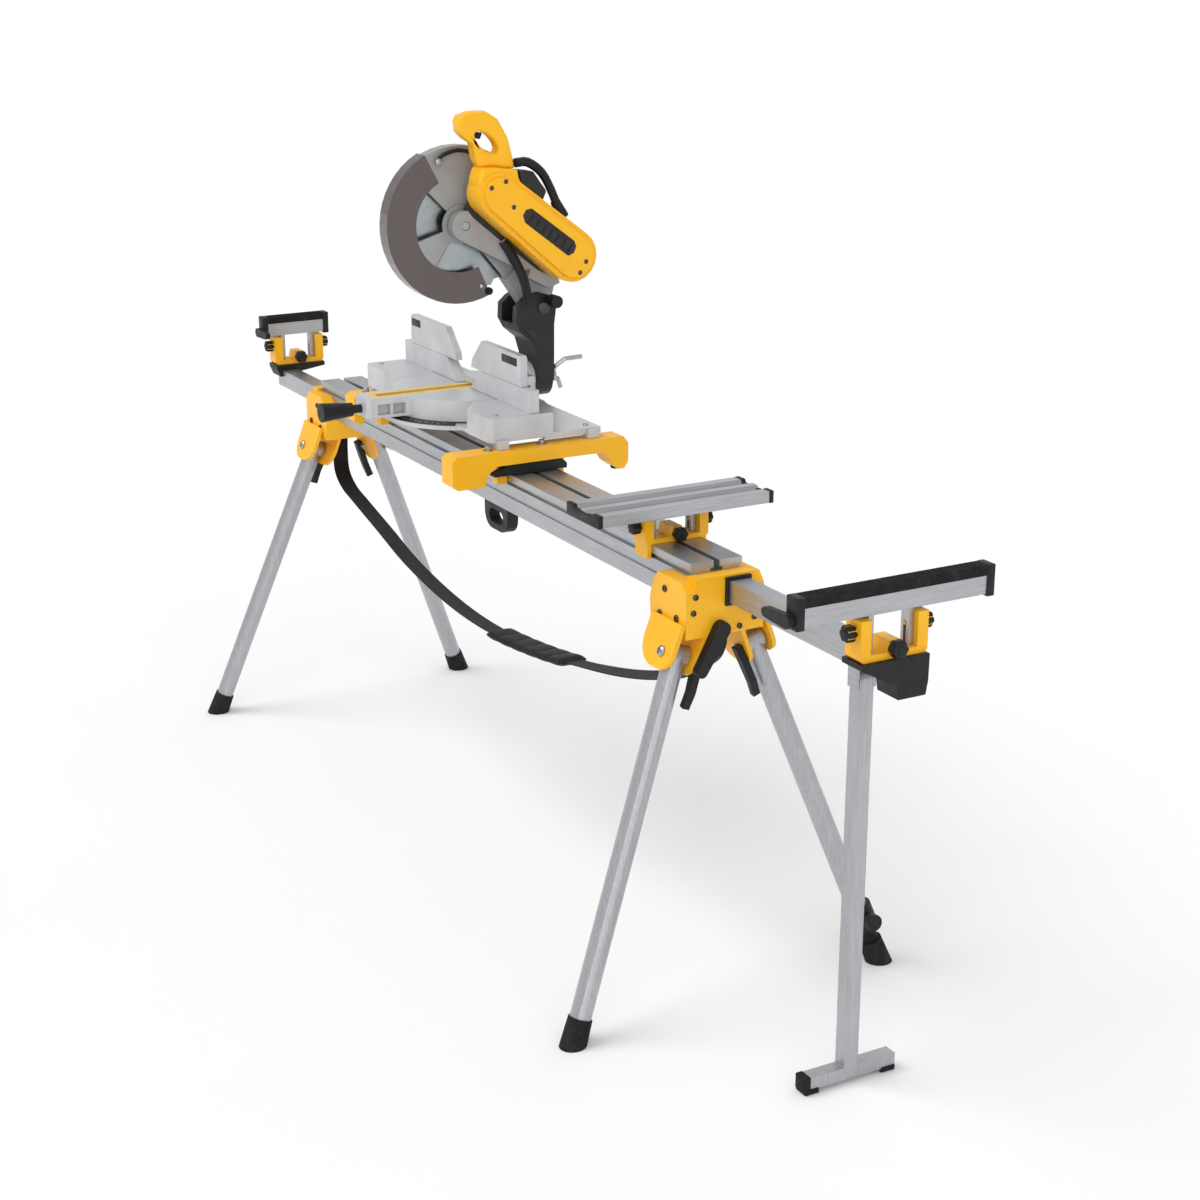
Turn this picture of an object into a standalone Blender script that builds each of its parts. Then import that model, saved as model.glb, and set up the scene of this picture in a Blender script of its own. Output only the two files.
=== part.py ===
"""Mitre saw on a folding beam stand: every sub-part as its own solid, in metres, +Z up.

+X runs along the beam to the operator's right, the operator stands on the -Y side, and the floor is z = 0.
Stand parts are placed from the middle of the beam, saw parts from the mitre pivot on the table top.
"""

import math

import bmesh
import bpy
from mathutils import Matrix, Vector

# ---------------------------------------------------------------- driving dimensions
STAND_X, STAND_Y = -0.1070, 0.0
GAP = 0.0003

BEAM_HALF_LENGTH = 0.845
BEAM_HALF_WIDTH = 0.052
BEAM_BOTTOM_Z = 0.737
BEAM_TOP_Z = 0.815

TUBE_HALF = 0.020
TUBE_WALL = 0.0025
TUBE_Y = 0.0245
TUBE_Z = 0.767

HUB_INNER_X, HUB_WALL_X, HUB_OUTER_X = 0.757, 0.8455, 0.875
HUB_HALF_WIDTH = 0.079
HUB_BOTTOM_Z, HUB_TOP_Z = 0.690, 0.790

LEG_PIVOT = (0.84, 0.078, 0.655)
LEG_FOOT = (0.922, 0.326, 0.0)
LEG_RADIUS, LEG_BORE = 0.0195, 0.0172
FOOT_RADIUS, FOOT_HEIGHT = 0.0250, 0.050
LEG_SPLIT, INNER_LEG_RADIUS, INNER_LEG_START = 0.600, 0.0165, 0.42
CHEEK_NEAR, CHEEK_FAR = 0.0215, 0.0295

SUPPORT_BAR_BOTTOM, SUPPORT_BAR_TOP, SUPPORT_PAD_TOP = 0.873, 0.9035, 0.920
BRACKET_HALF_WIDTH, BRACKET_ARM = 0.063, 0.020
RIGHT_SUPPORT_X, RIGHT_SUPPORT_Y, RIGHT_BAR_HALF = 1.347, -0.008, 0.184
LEFT_SUPPORT_X, LEFT_SUPPORT_Y, LEFT_BAR_HALF = 1.145, 0.004, 0.086
CLAMP_BOLT_Z = 0.846
TEE_X, TEE_PIVOT_Z, TEE_HALF = 1.244, 0.722, 0.0135

WIDE_X, WIDE_HALF_X, WIDE_HALF_Y = 0.690, 0.0575, 0.176
WIDE_BOTTOM, WIDE_TOP, WIDE_BOLT_Z = 0.871, 0.892, 0.845

SAW_X, TABLE_Z = -0.160, 0.930
RAIL_X, RAIL_HALF, RAIL_TOP_Z = 0.305, 0.025, 0.8665
BASE_HALF_LENGTH, BASE_BOTTOM = 0.308, -0.063
TABLE_RADIUS, TABLE_BOTTOM = 0.150, -0.044
ARM_LENGTH, ARM_HALF = 0.235, 0.042
FENCE_LOW, FENCE_TOP, FENCE_END = 0.045, 0.108, 0.266
FENCE_SEAT = -0.0015
CHOP_PIVOT = (0.166, 0.155)
ARBOR = (-0.010, 0.338)
BLADE_RADIUS, BLADE_HALF = 0.1525, 0.0012
LOWER_GUARD_RADIUS, UPPER_GUARD_RADIUS = 0.1625, 0.1590
LOWER_GUARD_START, LOWER_GUARD_END = 118, 294
UPPER_GUARD_START, UPPER_GUARD_END = -50, 135
HOUSING_TOP, HOUSING_TOP_RADIUS = (0.038, 0.404), 0.046
MOTOR_AXIS, MOTOR_RADIUS = (0.204, 0.270), 0.054
HOUSING_LEFT, HOUSING_RIGHT = 0.046, 0.118

ROUND = 24  # sides of a round shape

PALETTE = {
    "yellow_paint": ((0.90, 0.50, 0.03), 0.35, 0.0),
    "yellow_plastic": ((0.90, 0.50, 0.03), 0.3, 0.0),
    "aluminium": ((0.72, 0.73, 0.75), 0.35, 0.9),
    "cast_aluminium": ((0.74, 0.75, 0.76), 0.5, 0.7),
    "black_plastic": ((0.03, 0.03, 0.032), 0.5, 0.0),
    "black_rubber": ((0.02, 0.02, 0.02), 0.8, 0.0),
    "black_webbing": ((0.02, 0.02, 0.022), 0.9, 0.0),
    "steel": ((0.70, 0.71, 0.73), 0.25, 1.0),
    "smoked_plastic": ((0.30, 0.22, 0.20), 0.15, 0.0),
    "copper": ((0.55, 0.27, 0.14), 0.4, 0.8),
}


# ---------------------------------------------------------------- shapes
def clear_scene():
    for old in list(bpy.data.objects):
        bpy.data.objects.remove(old, do_unlink=True)


def link(mesh, name="shape"):
    shape = bpy.data.objects.new(name, mesh)
    bpy.context.scene.collection.objects.link(shape)
    return shape


def from_bmesh(bm):
    bmesh.ops.recalc_face_normals(bm, faces=bm.faces)
    mesh = bpy.data.meshes.new("shape")
    bm.to_mesh(mesh)
    bm.free()
    return link(mesh)


def box(low, high):
    """A box from its lowest to its highest corner."""
    bm = bmesh.new()
    size = Vector(high) - Vector(low)
    middle = (Vector(high) + Vector(low)) / 2
    bmesh.ops.create_cube(bm, size=1.0, matrix=Matrix.Translation(middle) @ Matrix.Diagonal((*size, 1)))
    return from_bmesh(bm)


def prism(outline, axis, low, high):
    """An outline in the two coordinates other than axis, in X, Y, Z order, pulled from low to high along it."""
    place = {"x": lambda a, b, c: (c, a, b), "y": lambda a, b, c: (a, c, b), "z": lambda a, b, c: (a, b, c)}[axis]
    bm = bmesh.new()
    face = bm.faces.new([bm.verts.new(place(a, b, low)) for a, b in outline])
    pulled = bmesh.ops.extrude_face_region(bm, geom=[face])["geom"]
    moved = [item for item in pulled if isinstance(item, bmesh.types.BMVert)]
    bmesh.ops.translate(bm, verts=moved, vec=place(0, 0, high - low))
    return from_bmesh(bm)


def rod(start, end, radius, end_radius=None, sides=ROUND):
    """A cylinder, or a cone where end_radius is given, from start to end."""
    start, end = Vector(start), Vector(end)
    along = end - start
    turn = along.to_track_quat("Z", "Y").to_matrix().to_4x4()
    bm = bmesh.new()
    bmesh.ops.create_cone(
        bm, cap_ends=True, segments=sides, radius1=radius, radius2=radius if end_radius is None else end_radius,
        depth=along.length, matrix=Matrix.Translation((start + end) / 2) @ turn)
    return from_bmesh(bm)


def arc(centre, radius, start, end, steps):
    """Points on an arc, in degrees from the first axis towards the second."""
    angles = [math.radians(start + (end - start) * i / steps) for i in range(steps + 1)]
    return [(centre[0] + radius * math.cos(t), centre[1] + radius * math.sin(t)) for t in angles]


def sector(centre, inner, outer, start, end, steps):
    """The outline of a part of a ring."""
    return arc(centre, outer, start, end, steps) + arc(centre, inner, end, start, steps)


def capsule(first, first_radius, second, second_radius, steps=10):
    """The outline around two circles, from the first to the second."""
    heading = math.degrees(math.atan2(second[1] - first[1], second[0] - first[0]))
    apart = math.dist(first, second)
    lean = math.degrees(math.asin((first_radius - second_radius) / apart))
    back = arc(first, first_radius, heading + 90 - lean, heading + 270 + lean, steps)
    front = arc(second, second_radius, heading - 90 + lean, heading + 90 - lean, steps)
    return back + front


def bent_rod(points, radius, resolution=2):
    """A round bar through the points, with flat ends."""
    curve = bpy.data.curves.new("shape", "CURVE")
    curve.dimensions = "3D"
    spline = curve.splines.new("POLY")
    spline.points.add(len(points) - 1)
    for slot, point in zip(spline.points, points):
        slot.co = (*point, 1)
    curve.bevel_depth = radius
    curve.bevel_resolution = resolution
    curve.use_fill_caps = True
    holder = link(curve)
    bpy.context.view_layer.update()
    mesh = bpy.data.meshes.new_from_object(holder.evaluated_get(bpy.context.evaluated_depsgraph_get()))
    bpy.data.objects.remove(holder, do_unlink=True)
    bm = bmesh.new()
    bm.from_mesh(mesh)
    bmesh.ops.remove_doubles(bm, verts=bm.verts, dist=0.00001)
    return from_bmesh(bm)


def smooth_path(points, per_span):
    """A Catmull-Rom curve through the points."""
    ends = [Vector(points[0]) * 2 - Vector(points[1])]
    ends += [Vector(p) for p in points]
    ends.append(Vector(points[-1]) * 2 - Vector(points[-2]))
    path = []
    for i in range(1, len(ends) - 2):
        a, b, c, d = ends[i - 1:i + 3]
        for step in range(per_span):
            t = step / per_span
            path.append(0.5 * ((2 * b) + (c - a) * t + (2 * a - 5 * b + 4 * c - d) * t**2
                               + (3 * b - a - 3 * c + d) * t**3))
    path.append(ends[-2])
    return path


def strip(path, across, half_width, half_thick):
    """A flat band along the path, half_width each way along across."""
    bm = bmesh.new()
    rings = []
    across = Vector(across)
    for i, point in enumerate(path):
        along = path[min(i + 1, len(path) - 1)] - path[max(i - 1, 0)]
        up = across.cross(along).normalized()
        corners = ((-1, -1), (1, -1), (1, 1), (-1, 1))
        rings.append([bm.verts.new(point + across * (half_width * a) + up * (half_thick * b)) for a, b in corners])
    for one, two in zip(rings, rings[1:]):
        for k in range(4):
            bm.faces.new((one[k], one[(k + 1) % 4], two[(k + 1) % 4], two[k]))
    bm.faces.new(rings[0])
    bm.faces.new(rings[-1])
    return from_bmesh(bm)


def moved(shape, matrix):
    shape.data.transform(matrix)
    if matrix.determinant() < 0:
        shape.data.flip_normals()
    return shape


def combine(shapes, cuts=(), solver="EXACT"):
    """The first shape joined with the rest, then with every cut taken away."""
    base = shapes[0]
    steps = [(other, "UNION") for other in shapes[1:]] + [(other, "DIFFERENCE") for other in cuts]
    for other, operation in steps:
        modifier = base.modifiers.new(operation.lower(), "BOOLEAN")
        modifier.operation = operation
        modifier.solver = solver
        modifier.object = other
    bpy.context.view_layer.update()
    mesh = bpy.data.meshes.new_from_object(base.evaluated_get(bpy.context.evaluated_depsgraph_get()))
    base.modifiers.clear()
    base.data = mesh
    for other, _ in steps:
        bpy.data.objects.remove(other, do_unlink=True)
    return base


# ---------------------------------------------------------------- materials, frames and nodes
def make_materials():
    made = {}
    for name, (colour, roughness, metallic) in PALETTE.items():
        surface = bpy.data.materials.new(name)
        surface.use_nodes = True
        shader = surface.node_tree.nodes["Principled BSDF"]
        shader.inputs["Base Color"].default_value = (*colour, 1)
        shader.inputs["Roughness"].default_value = roughness
        shader.inputs["Metallic"].default_value = metallic
        made[name] = surface
    return made


def make_frame(name, location):
    frame = bpy.data.objects.new(name, None)
    frame.location = location
    bpy.context.scene.collection.objects.link(frame)
    return frame


def node(name, shape, surface, origin=(0, 0, 0), frame="stand"):
    """Names a finished shape, gives it its material, and sets its origin on its joint's axis."""
    shape.data.transform(Matrix.Translation(-Vector(origin)))
    shape.name = name
    shape.data.name = name
    shape.location = origin
    shape.parent = FRAMES[frame]
    shape.data.materials.clear()
    shape.data.materials.append(MATERIALS[surface])
    shape.data.shade_smooth()
    shape.data.set_sharp_from_angle(angle=math.radians(35))
    return shape


def leg_frame(end, side):
    """Axes at a leg's pivot: outward along the beam, down the leg's plane, and out through it along the hinge."""
    x, y, z = LEG_PIVOT
    rise = LEG_PIVOT[2] - LEG_FOOT[2]
    spread = LEG_FOOT[1] - LEG_PIVOT[1]
    slope = math.hypot(rise, spread)
    down = Vector((0, side * spread / slope, -rise / slope))
    out = Vector((0, side * rise / slope, spread / slope))
    axes = Matrix((Vector((end, 0, 0)), down, out)).transposed().to_4x4()
    return Matrix.Translation((end * x, side * y, z)) @ axes


def leg_direction():
    """The leg's direction in its own frame, and its length from pivot to floor."""
    along = LEG_FOOT[0] - LEG_PIVOT[0]
    down = math.hypot(LEG_PIVOT[2], LEG_FOOT[1] - LEG_PIVOT[1])
    length = math.hypot(along, down)
    return Vector((along / length, down / length, 0)), length


# ---------------------------------------------------------------- stand
def build_beam():
    half, low = BEAM_HALF_WIDTH, BEAM_BOTTOM_Z
    side = [(half, 0.0), (half, 0.030), (half - 0.003, 0.030), (half - 0.003, 0.036), (half, 0.036),
            (half, 0.056), (half - 0.006, 0.056), (half - 0.006, 0.064), (half, 0.064),
            (half, 0.078), (0.006, 0.078), (0.006, 0.066), (0.012, 0.066), (0.012, 0.058)]
    outline = side + [(-y, z) for y, z in reversed(side)]
    solid = prism([(y, z + low) for y, z in outline], "x", -BEAM_HALF_LENGTH, BEAM_HALF_LENGTH)
    room = TUBE_HALF + 0.0015
    channels = [box((-1, y - room, TUBE_Z - room), (1, y + room, TUBE_Z + room)) for y in (-TUBE_Y, TUBE_Y)]
    node("beam", combine([solid], channels), "aluminium")


def cheek(place, near, far):
    """One of the two plates that a leg swings between."""
    inboard = HUB_INNER_X + 0.016 - LEG_PIVOT[0]
    outboard = HUB_OUTER_X - LEG_PIVOT[0]
    outline = [(inboard, -0.056), (outboard, -0.056)]
    outline += arc((outboard - 0.034, -0.002), 0.034, 0, 90, 5)
    outline += arc((inboard + 0.046, -0.014), 0.046, 90, 180, 6)
    return moved(prism(outline, "z", near, far), place)


def build_hub(name, end, tube_y):
    low, high = sorted((end * HUB_INNER_X, end * HUB_OUTER_X))
    wall_low, wall_high = sorted((end * HUB_WALL_X, end * HUB_OUTER_X))
    inside = BEAM_HALF_WIDTH + GAP
    plate = [(HUB_INNER_X, HUB_BOTTOM_Z), (HUB_INNER_X - 0.004, 0.735), (HUB_INNER_X + 0.006, 0.772),
             (HUB_INNER_X + 0.024, HUB_TOP_Z), (HUB_OUTER_X - 0.016, HUB_TOP_Z), (HUB_OUTER_X, HUB_TOP_Z - 0.018),
             (HUB_OUTER_X, HUB_BOTTOM_Z)]
    side_plates = prism([(end * x, z) for x, z in plate], "y", -HUB_HALF_WIDTH, HUB_HALF_WIDTH)
    room = box((low - 0.02, -inside, BEAM_BOTTOM_Z - GAP), (high + 0.02, inside, HUB_TOP_Z + 0.02))
    shapes = [combine([side_plates], [room])]
    shapes.append(box((wall_low, -0.06, BEAM_BOTTOM_Z - 0.01), (wall_high, 0.06, HUB_TOP_Z + 0.006)))
    for side in (-1, 1):
        place = leg_frame(end, side)
        shapes.append(cheek(place, CHEEK_NEAR, CHEEK_FAR))
        shapes.append(cheek(place, -CHEEK_FAR, -CHEEK_NEAR))
        shapes.append(moved(rod((0, 0, -0.026), (0, 0, 0.026), 0.005, sides=12), place))
    clear = TUBE_HALF + 0.0006
    window = box((wall_low - 0.02, tube_y - clear, TUBE_Z - clear),
                 (wall_high + 0.02, tube_y + clear, TUBE_Z + clear))
    node(name, combine(shapes, [window]), "yellow_paint")


def build_leg(name, end, side, reach):
    place = leg_frame(end, side)
    along, _ = leg_direction()
    top = moved(rod((0, 0, -0.0185), (0, 0, 0.0185), LEG_RADIUS), place)
    tube = moved(rod((0, 0, 0), along * reach, LEG_RADIUS), place)
    hollow = moved(rod(along * 0.045, along * (reach + 0.01), LEG_BORE), place)
    bore = moved(rod((0, 0, -0.03), (0, 0, 0.03), 0.0058, sides=12), place)
    node(name, combine([tube, top], [hollow, bore]), "aluminium", place.translation)


def build_foot(name, end, side, with_tube):
    place = leg_frame(end, side)
    along, length = leg_direction()
    start = length - FOOT_HEIGHT
    inner = INNER_LEG_RADIUS if with_tube else LEG_RADIUS
    shapes = [moved(rod(along * start, along * (length + 0.02), FOOT_RADIUS - 0.003, FOOT_RADIUS), place)]
    cuts = []
    if with_tube:
        shapes.append(moved(rod(along * INNER_LEG_START, along * (start + 0.02), inner), place))
    else:
        cuts.append(moved(rod(along * (start - 0.01), along * (length - 0.0247), inner + GAP), place))
    cuts.append(box((end * LEG_FOOT[0] - 0.1, side * LEG_FOOT[1] - 0.1, -0.1),
                    (end * LEG_FOOT[0] + 0.1, side * LEG_FOOT[1] + 0.1, 0)))
    origin = place @ (along * start)
    node(name, combine(shapes, cuts), "black_rubber", origin)


def build_foot_clamp(end, side):
    place = leg_frame(end, side)
    along, _ = leg_direction()
    across = Vector((along.y, -along.x, 0))
    low, high = LEG_SPLIT - 0.022, LEG_SPLIT + 0.026
    middle = along * (LEG_SPLIT + 0.002)
    ring = moved(rod(along * low, along * high, 0.0265), place)
    boss = moved(rod(middle, middle + across * 0.034, 0.011), place)
    knob = moved(rod(middle + across * 0.032, middle + across * 0.048, 0.016, sides=12), place)
    upper = moved(rod(along * (low - 0.01), along * (LEG_SPLIT + GAP), LEG_RADIUS + GAP), place)
    lower = moved(rod(along * LEG_SPLIT, along * (high + 0.01), INNER_LEG_RADIUS + GAP), place)
    node("foot_clamp_back_right", combine([ring, boss, knob], [upper, lower]), "black_plastic", place @ middle)


def build_latch(name, end, side):
    """The sprung lever beside a leg's inner cheek, which a foot or a hand presses to let the leg fold."""
    place = leg_frame(end, side)
    outline = [(0.006, -0.012), (0.022, -0.014), (0.030, 0.024), (0.034, 0.056), (0.030, 0.086),
               (0.019, 0.084), (0.020, 0.056), (0.014, 0.026)]
    blade = moved(prism(outline, "z", -0.0440, -0.0300), place)
    node(name, blade, "black_plastic", place @ Vector((0.014, -0.006, -0.037)))


def build_extension_lock(name, end):
    """A cam lever on the end of the hub, which pinches the extension tube."""
    low, high = sorted((end * (HUB_OUTER_X + GAP), end * (HUB_OUTER_X + 0.018)))
    outline = capsule((-0.012, 0.704), 0.014, (-0.054, 0.632), 0.010, 6)
    node(name, prism(outline, "x", low, high), "black_plastic", (end * HUB_OUTER_X, -0.012, 0.704))


def build_extension(name, end, tube_y, inner_x, outer_x, with_ears):
    low, high = sorted((end * inner_x, end * outer_x))
    half, room = TUBE_HALF, TUBE_HALF - TUBE_WALL
    shapes = [box((low, tube_y - half, TUBE_Z - half), (high, tube_y + half, TUBE_Z + half))]
    cuts = [box((low - 0.01, tube_y - room, TUBE_Z - room), (high + 0.01, tube_y + room, TUBE_Z + room))]
    if with_ears:
        near, far = TEE_HALF + 0.0008, TEE_HALF + 0.005
        for side in (-1, 1):
            y_low, y_high = sorted((tube_y + side * near, tube_y + side * far))
            shapes.append(box((TEE_X - 0.013, y_low, TEE_PIVOT_Z - 0.012),
                              (TEE_X + 0.013, y_high, TUBE_Z - half + 0.001)))
        shapes.append(rod((TEE_X, tube_y - near - 0.002, TEE_PIVOT_Z), (TEE_X, tube_y + near + 0.002, TEE_PIVOT_Z),
                          0.0042, sides=12))
    node(name, combine(shapes, cuts), "aluminium", (end * outer_x, tube_y, TUBE_Z))


def build_end_block(name, end, tube_y, middle_y, x, bottom):
    """The block on the end of an extension tube, which carries a support bracket."""
    half, top = BRACKET_HALF_WIDTH, TUBE_Z + TUBE_HALF + 0.013
    waist = bottom + (top - bottom) * 0.35
    outline = [(middle_y - half, top), (middle_y - half, top - 0.009), (tube_y - 0.030, waist),
               (tube_y - 0.026, bottom), (tube_y + 0.026, bottom), (tube_y + 0.030, waist),
               (middle_y + half, top - 0.009), (middle_y + half, top)]
    room = TUBE_HALF + GAP
    cut_low, cut_high = sorted((end * (x - 0.05), end * (x + 0.0053)))
    socket = box((cut_low, tube_y - room, TUBE_Z - room), (cut_high, tube_y + room, TUBE_Z + room))
    block = prism(outline, "x", end * x - 0.027, end * x + 0.027)
    node(name, combine([block], [socket]), "black_plastic", (end * x, tube_y, TUBE_Z))


def yoke(x, y, base_low, base_high, arm_top, half, arm, half_x, bolt_z, knob_radius):
    """A U-shaped bracket that opens upwards, with a tab for its height clamp and a clamp knob on each arm."""
    tab = base_high + 0.018
    outline = [(-half + 0.006, base_low), (half - 0.006, base_low), (half, base_low + 0.006), (half, arm_top),
               (half - arm, arm_top), (half - arm, base_high), (0.014, base_high), (0.010, tab), (-0.010, tab),
               (-0.014, base_high), (arm - half, base_high), (arm - half, arm_top), (-half, arm_top),
               (-half, base_low + 0.006)]
    shapes = [prism([(y + a, z) for a, z in outline], "x", x - half_x, x + half_x)]
    for side in (-1, 1):
        inner, outer, far = y + side * (half - arm - 0.011), y + side * half, y + side * (half + 0.016)
        shapes.append(rod((x, inner, bolt_z), (x, outer, bolt_z), 0.003, sides=12))
        shapes.append(rod((x, y + side * (half - 0.002), bolt_z), (x, far, bolt_z), knob_radius, sides=12))
    hole = rod((x + half_x - 0.016, y, tab - 0.012), (x + half_x + 0.01, y, tab - 0.012), 0.0045, sides=12)
    return combine(shapes, [hole])


def tongues(x, y, inner_y, outer_y, low, high, half_x, slot_low, slot_high):
    """The two slotted plates that stand inside a bracket's arms."""
    shapes = []
    for side in (-1, 1):
        y_low, y_high = sorted((y + side * inner_y, y + side * outer_y))
        plate = box((x - half_x, y_low, low), (x + half_x, y_high, high))
        slot = box((x - 0.0036, y_low - 0.01, slot_low), (x + 0.0036, y_high + 0.01, slot_high))
        shapes.append(combine([plate], [slot]))
    return shapes


def clamp_screw(x, y, z, radius):
    """A knob and its stud, which stands in the tab's hole and faces +X. x is the tab's face."""
    stud = rod((x - 0.014, y, z), (x + 0.004, y, z), 0.004, sides=12)
    knob = rod((x + 0.0006, y, z), (x + 0.019, y, z), radius, sides=12)
    return combine([stud, knob])


def build_end_support(side_name, end, tube_y, support_x, y, bar_half, block_bottom):
    x = end * support_x
    build_end_block("extension_end_block_" + side_name, end, tube_y, y, support_x, block_bottom)
    base = TUBE_Z + TUBE_HALF + 0.013 + GAP
    bracket = yoke(x, y, base, base + 0.012, 0.868, BRACKET_HALF_WIDTH, BRACKET_ARM, 0.020, CLAMP_BOLT_Z, 0.012)
    node("support_bracket_" + side_name, bracket, "yellow_paint", (x, 0, base))
    bar = [box((x - 0.0125, -bar_half, SUPPORT_BAR_BOTTOM), (x + 0.0125, bar_half, SUPPORT_BAR_TOP))]
    bar += tongues(x, y, 0.033, 0.0425, 0.813, SUPPORT_BAR_BOTTOM + 0.002, 0.010, 0.8165, 0.8500)
    node("support_bar_" + side_name, combine(bar), "aluminium", (x, 0, SUPPORT_BAR_BOTTOM))
    pad = box((x - 0.0145, -bar_half, SUPPORT_BAR_TOP + GAP), (x + 0.0145, bar_half, SUPPORT_PAD_TOP))
    node("support_pad_" + side_name, pad, "black_rubber", (x, 0, SUPPORT_BAR_TOP))
    clamp = clamp_screw(x + 0.020, y, base + 0.018, 0.014)
    node("height_clamp_" + side_name, clamp, "black_plastic", (x + 0.020, y, base + 0.018))
    pivot_z = SUPPORT_BAR_BOTTOM + 0.010
    outline = capsule((x, pivot_z), 0.011, (x - end * 0.056, pivot_z), 0.008, 6)
    stop = prism(outline, "y", -bar_half - 0.012, -bar_half - GAP)
    node("flip_stop_" + side_name, stop, "black_plastic", (x, -bar_half, pivot_z))


def build_tee_leg():
    y, half = TUBE_Y, TEE_HALF
    post = box((TEE_X - half, y - half, 0.020), (TEE_X + half, y + half, TEE_PIVOT_Z))
    top = rod((TEE_X, y - half, TEE_PIVOT_Z), (TEE_X, y + half, TEE_PIVOT_Z), half)
    foot = box((TEE_X - 0.0125, y - 0.092, 0.007), (TEE_X + 0.0125, y + 0.092, 0.031))
    pads = [box((TEE_X - 0.0135, y + s * 0.078 - 0.013, 0.0), (TEE_X + 0.0135, y + s * 0.078 + 0.013, 0.0085))
            for s in (-1, 1)]
    bore = rod((TEE_X, y - 0.03, TEE_PIVOT_Z), (TEE_X, y + 0.03, TEE_PIVOT_Z), 0.005, sides=12)
    node("tee_leg", combine([post, top, foot] + pads, [bore]), "aluminium", (TEE_X, y, TEE_PIVOT_Z))


def build_wide_support():
    x, base = WIDE_X, BEAM_TOP_Z + GAP
    bracket = yoke(x, 0, base, base + 0.009, 0.8695, 0.065, 0.018, 0.022, WIDE_BOLT_Z, 0.0105)
    skirts = [box((x - 0.022, s * 0.0565 - 0.0042, 0.790), (x + 0.022, s * 0.0565 + 0.0042, base + 0.004))
              for s in (-1, 1)]
    node("wide_support_bracket", combine([bracket] + skirts), "yellow_paint", (x, 0, base))
    half, low, high = WIDE_HALF_X, WIDE_BOTTOM, WIDE_TOP
    side = [(half, low), (half, high), (half - 0.020, high), (half - 0.024, high - 0.006),
            (0.012, high - 0.006), (0.008, high)]
    under = [(-half + 0.004, low), (-half + 0.004, low + 0.010), (half - 0.004, low + 0.010), (half - 0.004, low)]
    outline = [(x + a, z) for a, z in side + [(-a, z) for a, z in reversed(side)] + under]
    shapes = [prism(outline, "y", -WIDE_HALF_Y, WIDE_HALF_Y)]
    shapes += tongues(x, 0, 0.036, 0.0465, 0.8250, low + 0.012, 0.010, 0.8285, 0.8500)
    node("wide_support_channel", combine(shapes), "aluminium", (x, 0, low))
    clamp = clamp_screw(x + 0.022, 0, base + 0.015, 0.012)
    node("wide_support_clamp", clamp, "black_plastic", (x + 0.022, 0, base + 0.015))


def build_carry_grip():
    """A closed loop handle under the front edge of the beam."""
    centre, low = 0.085, BEAM_BOTTOM_Z - GAP
    outline = [(centre - 0.052, low), (centre - 0.052, low - 0.022)]
    outline += arc((centre - 0.020, low - 0.022), 0.032, 180, 270, 5)
    outline += arc((centre + 0.020, low - 0.022), 0.032, 270, 360, 5)
    outline += [(centre + 0.052, low)]
    hole = arc((centre - 0.018, low - 0.026), 0.014, 90, 270, 6)
    hole += arc((centre + 0.018, low - 0.026), 0.014, 270, 450, 6)
    grip = combine([prism(outline, "y", -0.050, -0.026)], [prism(hole, "y", -0.06, -0.01)])
    node("beam_carry_grip", grip, "black_plastic", (centre, -0.038, low))


STRAP_ROUTE = [(-0.861, 0.6893), (-0.868, 0.640), (-0.862, 0.585), (-0.820, 0.553), (-0.756, 0.535), (-0.609, 0.498),
               (-0.469, 0.462), (-0.308, 0.436), (-0.154, 0.424), (0.000, 0.426), (0.177, 0.443), (0.340, 0.468),
               (0.508, 0.502), (0.640, 0.538), (0.760, 0.580), (0.830, 0.620), (0.856, 0.655), (0.861, 0.6893)]
STRAP_HALF_WIDTH, STRAP_HALF_THICK = 0.019, 0.0016
PAD_START_X, PAD_END_X = -0.03, 0.345


def build_strap():
    """The carrying strap, which hangs between the two hubs under the beam, with its shoulder pad."""
    path = smooth_path([(x, 0, z) for x, z in STRAP_ROUTE], 4)
    band = strip(path, (0, 1, 0), STRAP_HALF_WIDTH, STRAP_HALF_THICK)
    inside = [p for p in path if PAD_START_X <= p.x <= PAD_END_X]
    pad = strip(inside, (0, 1, 0), 0.031, 0.008)
    node("carry_strap", combine([band, pad]), "black_webbing", (0, 0, 0.43))


def build_stand():
    build_beam()
    build_hub("hub_right", 1, TUBE_Y)
    build_hub("hub_left", -1, -TUBE_Y)
    for end, end_name in ((1, "right"), (-1, "left")):
        for side, side_name in ((-1, "front"), (1, "back")):
            place_name = side_name + "_" + end_name
            adjustable = place_name == "back_right"
            reach = LEG_SPLIT if adjustable else leg_direction()[1] - 0.025
            build_leg("leg_" + place_name, end, side, reach)
            build_foot("foot_" + place_name, end, side, adjustable)
            build_latch("leg_latch_" + place_name, end, side)
    build_foot_clamp(1, 1)
    build_extension_lock("extension_lock_right", 1)
    build_extension_lock("extension_lock_left", -1)
    build_extension("extension_tube_right", 1, TUBE_Y, 0.600, RIGHT_SUPPORT_X + 0.005, True)
    build_extension("extension_tube_left", -1, -TUBE_Y, 0.450, LEFT_SUPPORT_X + 0.005, False)
    build_end_support("right", 1, TUBE_Y, RIGHT_SUPPORT_X, RIGHT_SUPPORT_Y, RIGHT_BAR_HALF, 0.733)
    build_end_support("left", -1, -TUBE_Y, LEFT_SUPPORT_X, LEFT_SUPPORT_Y, LEFT_BAR_HALF, 0.772)
    build_tee_leg()
    build_wide_support()
    build_carry_grip()
    build_strap()


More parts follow.
